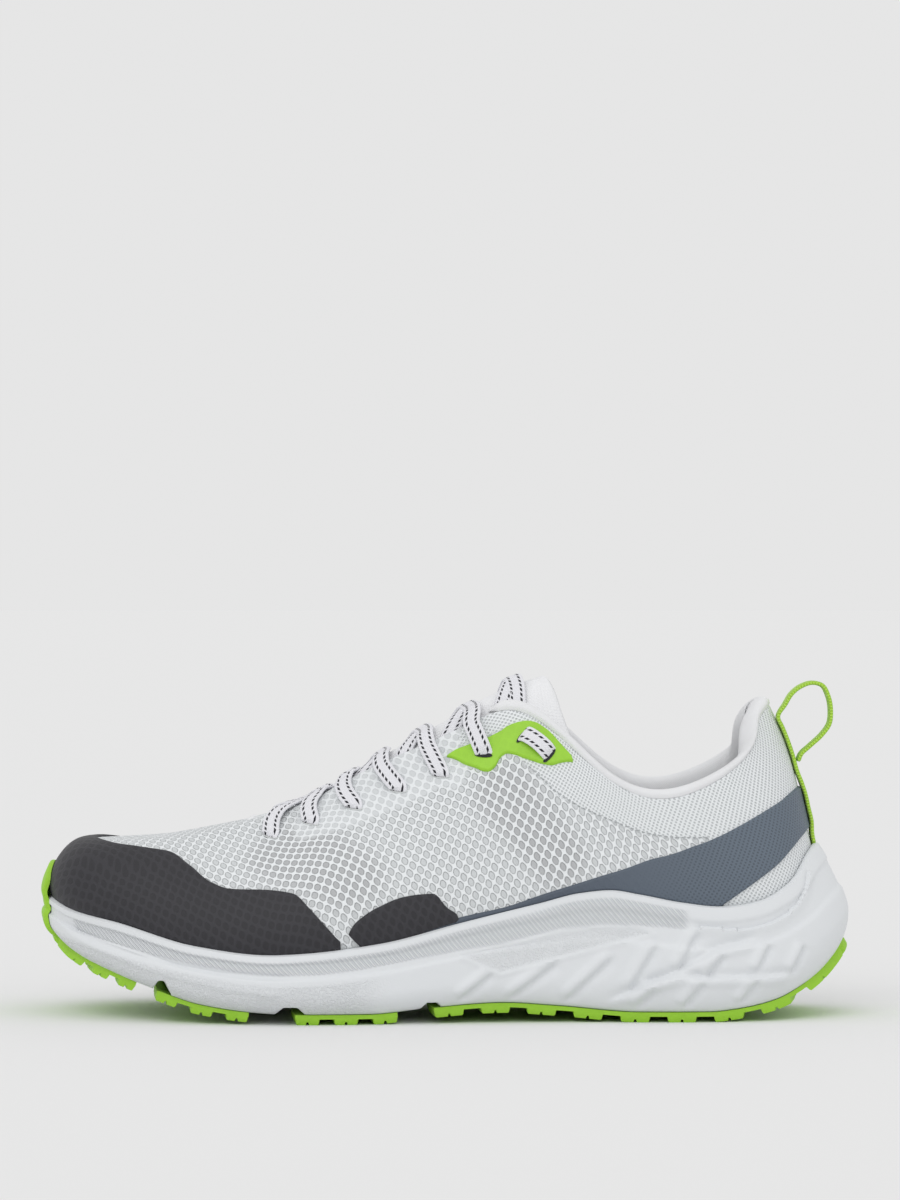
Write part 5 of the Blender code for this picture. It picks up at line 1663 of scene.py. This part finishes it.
def tread_edges(x):
    """Lateral and medial edges of the tread at places along the shoe."""
    stations = np.linspace(0, LAST_STATION, 221)
    lines = [plan(at, TREAD_INSET)[0][::-1] for at in (stations, COLUMNS - stations)]
    return [np.interp(x, line[:, 0], line[:, 1]) for line in lines]


def lug_lines(spans, length, fill_step):
    """Grid lines over a length, and how high a row of lugs stands at each of them."""
    lines = [(0.0, 0.0)]
    for start, end in spans:
        a, b = start * length, end * length
        draft, bevel = LUG_DRAFT, LUG_BEVEL
        lines += [(a, 0.0), (a + draft, 0.80), (a + draft + bevel, 1.0)]
        middle = (a + b) / 2
        if b - a > SIPE_LEAST:
            lines += [(middle + at, 0.5 if abs(at) < 0.0005 else 1.0) for at in SIPE]
        lines += [(b - draft - bevel, 1.0), (b - draft, 0.80), (b, 0.0)]
    lines.append((length, 0.0))
    found = []
    for (a, low), (b, high) in zip(lines, lines[1:]):
        count = max(1, int(math.ceil((b - a) / fill_step)))
        for k in range(count):
            found.append((a + (b - a) * k / count, low + (high - low) * k / count))
    found.append(lines[-1])
    return np.array(found)


def build_pad(name, front, rear, rows, front_bow, rear_bow):
    """A rubber pad with bevelled lugs, which follows the midsole's underside."""
    length = LENGTH * (front - rear)
    fill = rows - 1 + LUG_FILL
    spans = [(i / fill, (i + LUG_FILL) / fill) for i in range(rows)]
    along = lug_lines(spans, length, 0.0020)
    wide = BALL_WIDTH * 0.8
    columns = [((a + 1) / 2, (b + 1) / 2) for a, b in zip(LUG_ACROSS[::2], LUG_ACROSS[1::2])]
    across = lug_lines(columns, wide, 0.0030)
    run = (along[:, 0] / length)[:, None]
    c = (across[:, 0] / wide * 2 - 1)[None, :]
    x = LENGTH * (0.5 - front + (front - rear) * run)
    bow = front_bow + (rear_bow - front_bow) * run
    lateral, medial = tread_edges(x)
    x, y = x + bow * (1 - c * c), (lateral + medial) / 2 + (medial - lateral) / 2 * c
    lugs = np.minimum(along[:, 1][:, None], across[:, 1][None, :])
    top = tread_points(x, y, TREAD_TOP)
    bottom = tread_points(x, y, GAP + RUBBER + LUG * lugs)
    shell = Shell()
    shell.flat(top, (0, 0, -1.0))
    shell.flat(bottom, (0, 0, 1.0))
    loops = []
    for sheet in (top, bottom):
        loops.append(np.concatenate([sheet[:, 0], sheet[-1, 1:], sheet[-2::-1, -1], sheet[0, -2:0:-1]]))
    skirt = np.stack(loops, axis=1)
    shell.flat(skirt, skirt.mean(axis=(0, 1)), closed=(True, False))
    return shell.make(f"{name}_tread", "rubber", "outsole_rubber", [name], weld=True, sharp=35)


def build_bumper():
    """The tab of rubber that turns up in front of the toe."""
    count, fine = 61, 110
    c = np.linspace(-1, 1, count)
    stations = LAST_STATION + c * BUMPER_STATIONS
    ups = np.array([0.0, 0.1, 0.25, 0.42, 0.58, 0.72, 0.86, 1.0])
    side, out, _, _, _ = side_columns(stations, ups)
    side = side + out[:, None] * 0.0002
    low = rim_shares(stations, LIP_ROUND + 0.002)
    fall = BUMPER_FALL * c**2
    high = []
    for station, drop in zip(stations, fall):
        over = BUMPER_HEIGHT - float(rim(-LENGTH / 2)) - drop
        high.append(rim_shares([station], over)[0])
    high = np.array(high)
    upper = []
    for f in (0.0, 0.35, 0.7, 1.0):
        share = low + (high - low) * f
        off = LIP + GAP + (FILM_OVER - LIP - GAP) * min(1.0, f * 1.6)
        upper.append(surface(stations, share) + surface_normals(stations, share) * off)
    under = []
    for f in (1.0, 0.55, 0.15):
        back = side[:, 0].copy()
        x = back[:, 0] + 0.011 * f
        under.append(tread_points(x, back[:, 1] * (1 - 0.06 * f), GAP))
    paths = np.concatenate([np.stack(under, axis=1), side, np.stack(upper, axis=1)], axis=1)
    grid = []
    for path in paths:
        dense = smooth_path(path, 0.0004)
        run = run_of(dense)
        grid.append(points_at(np.linspace(0, run[-1], fine), run, dense))
    grid = np.array(grid)
    normals = grid_normals(grid)
    if normals[count // 2, fine // 2, 0] > 0:
        normals = -normals
    up, over = run_of(grid, 1), run_of(grid)
    away = np.minimum(np.minimum(over, over[-1:] - over), up[:, -1:] - up)
    rise = border_roll(away, BUMPER_THICKNESS)
    outer = grid + normals * (rise * BUMPER_THICKNESS)[..., None]
    shell = Shell()
    shell.grid(outer, outer[..., 1:] * 1000, (0, 0, 0.03))
    return shell.make("toe_bumper", "rubber", "outsole_rubber", ["outsole_toe"])


def build_stage():
    """A wide pale floor under a pale surround, with soft light."""
    world = bpy.data.worlds.new("studio")
    bpy.context.scene.world = world
    bpy.context.scene.view_settings.view_transform = "Standard"
    world.use_nodes = True
    world.node_tree.nodes["Background"].inputs["Color"].default_value = (*SURROUND, 1.0)
    world.node_tree.nodes["Background"].inputs["Strength"].default_value = 1.0
    for name, turn, angle, power in LIGHTS:
        light = bpy.data.lights.new(name, "SUN")
        light.energy = power
        light.angle = math.radians(angle)
        add_object(name, light).rotation_euler = [math.radians(v) for v in turn]
    mesh = bpy.data.meshes.new("floor")
    reach = 60.0
    corners = [(-reach, -reach, 0), (reach, -reach, 0), (reach, reach, 0), (-reach, reach, 0)]
    mesh.from_pydata(corners, [], [(0, 1, 2, 3)])
    tree = Tree("floor_pale", 1.0, Specular_IOR_Level=0.0)
    tree.link(FLOOR, tree.shader.inputs["Base Color"])
    mesh.materials.append(tree.material)
    add_object("floor", mesh)


def build_camera():
    """The photo's camera: level, from the lateral side."""
    data = bpy.data.cameras.new("photo_camera")
    data.sensor_width = SENSOR
    data.lens = FOCAL_PIXELS / FRAME_PIXELS * SENSOR
    data.clip_start = 0.01
    data.clip_end = 200
    camera = add_object("photo_camera", data)
    camera.location = CAMERA_PLACE
    camera.rotation_euler = (math.radians(90), 0, 0)
    bpy.context.scene.camera = camera


def finishes_of():
    """All the finishes, by name."""
    return {
        "mesh": mesh_material(),
        "lining": knit_material("lining_white", (0.84, 0.845, 0.86)),
        "tongue": knit_material("tongue_white", (0.86, 0.865, 0.88), pitch=1.3, depth=0.00012),
        "foam": foam_material(),
        "rubber": rubber_material(),
        "charcoal": film_material("film_charcoal", (0.036, 0.035, 0.041), roughness=0.55),
        "slate": film_material("film_slate", (0.084, 0.103, 0.134), far=(0.130, 0.162, 0.203), pits=0.6),
        "lime": film_material("film_lime", (0.34, 0.66, 0.045), roughness=0.45, ribs=0.12, relief_shade=0.1),
        "lace": lace_material(),
        "webbing": webbing_material(),
        "sock": sock_material(),
        "rim": plain_material("rim_white", (0.70, 0.72, 0.72), 0.45),
        # The dark sheets in the eyelets' slots: painted shadow.
        "hole": plain_material("eyelet_slot_shadow", (0.03, 0.03, 0.035), 0.9),
        # The thread is painted grey: painted shade along the seam's stitches.
        "thread": plain_material("thread_painted_shade", (0.46, 0.48, 0.49), 0.7),
    }


def main():
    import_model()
    build_camera()
    build_stage()
    FINISHES.update(finishes_of())
    build_upper()
    build_midsole()
    build_film("toe_cap_film", "toe_cap", TOE_CAP, "charcoal", "film_charcoal", through=True,
               ends=420, cells=60)
    build_film("heel_band_film", "heel_band", BAND, "slate", "film_slate", through=True,
               ends=420, cells=50)
    for side, name in ((1, "lateral"), (-1, "medial")):
        build_film(f"saddle_film_{name}", f"saddle_{name}", SADDLE, "charcoal", "film_charcoal",
                   side=side, ends=110, cells=44, corner=0.05, lean=0.13)
        build_film(f"eyestay_film_{name}", f"eyestay_{name}", PATCH, "lime", "film_lime",
                   side=side, ends=150, cells=40)
    build_collar()
    build_tongue()
    build_insole()
    build_lace()
    build_eyelets()
    build_pull_loop()
    build_stitches()
    for pad in OUTSOLE:
        build_pad(*pad)
    build_bumper()
    bpy.context.view_layer.update()


main()
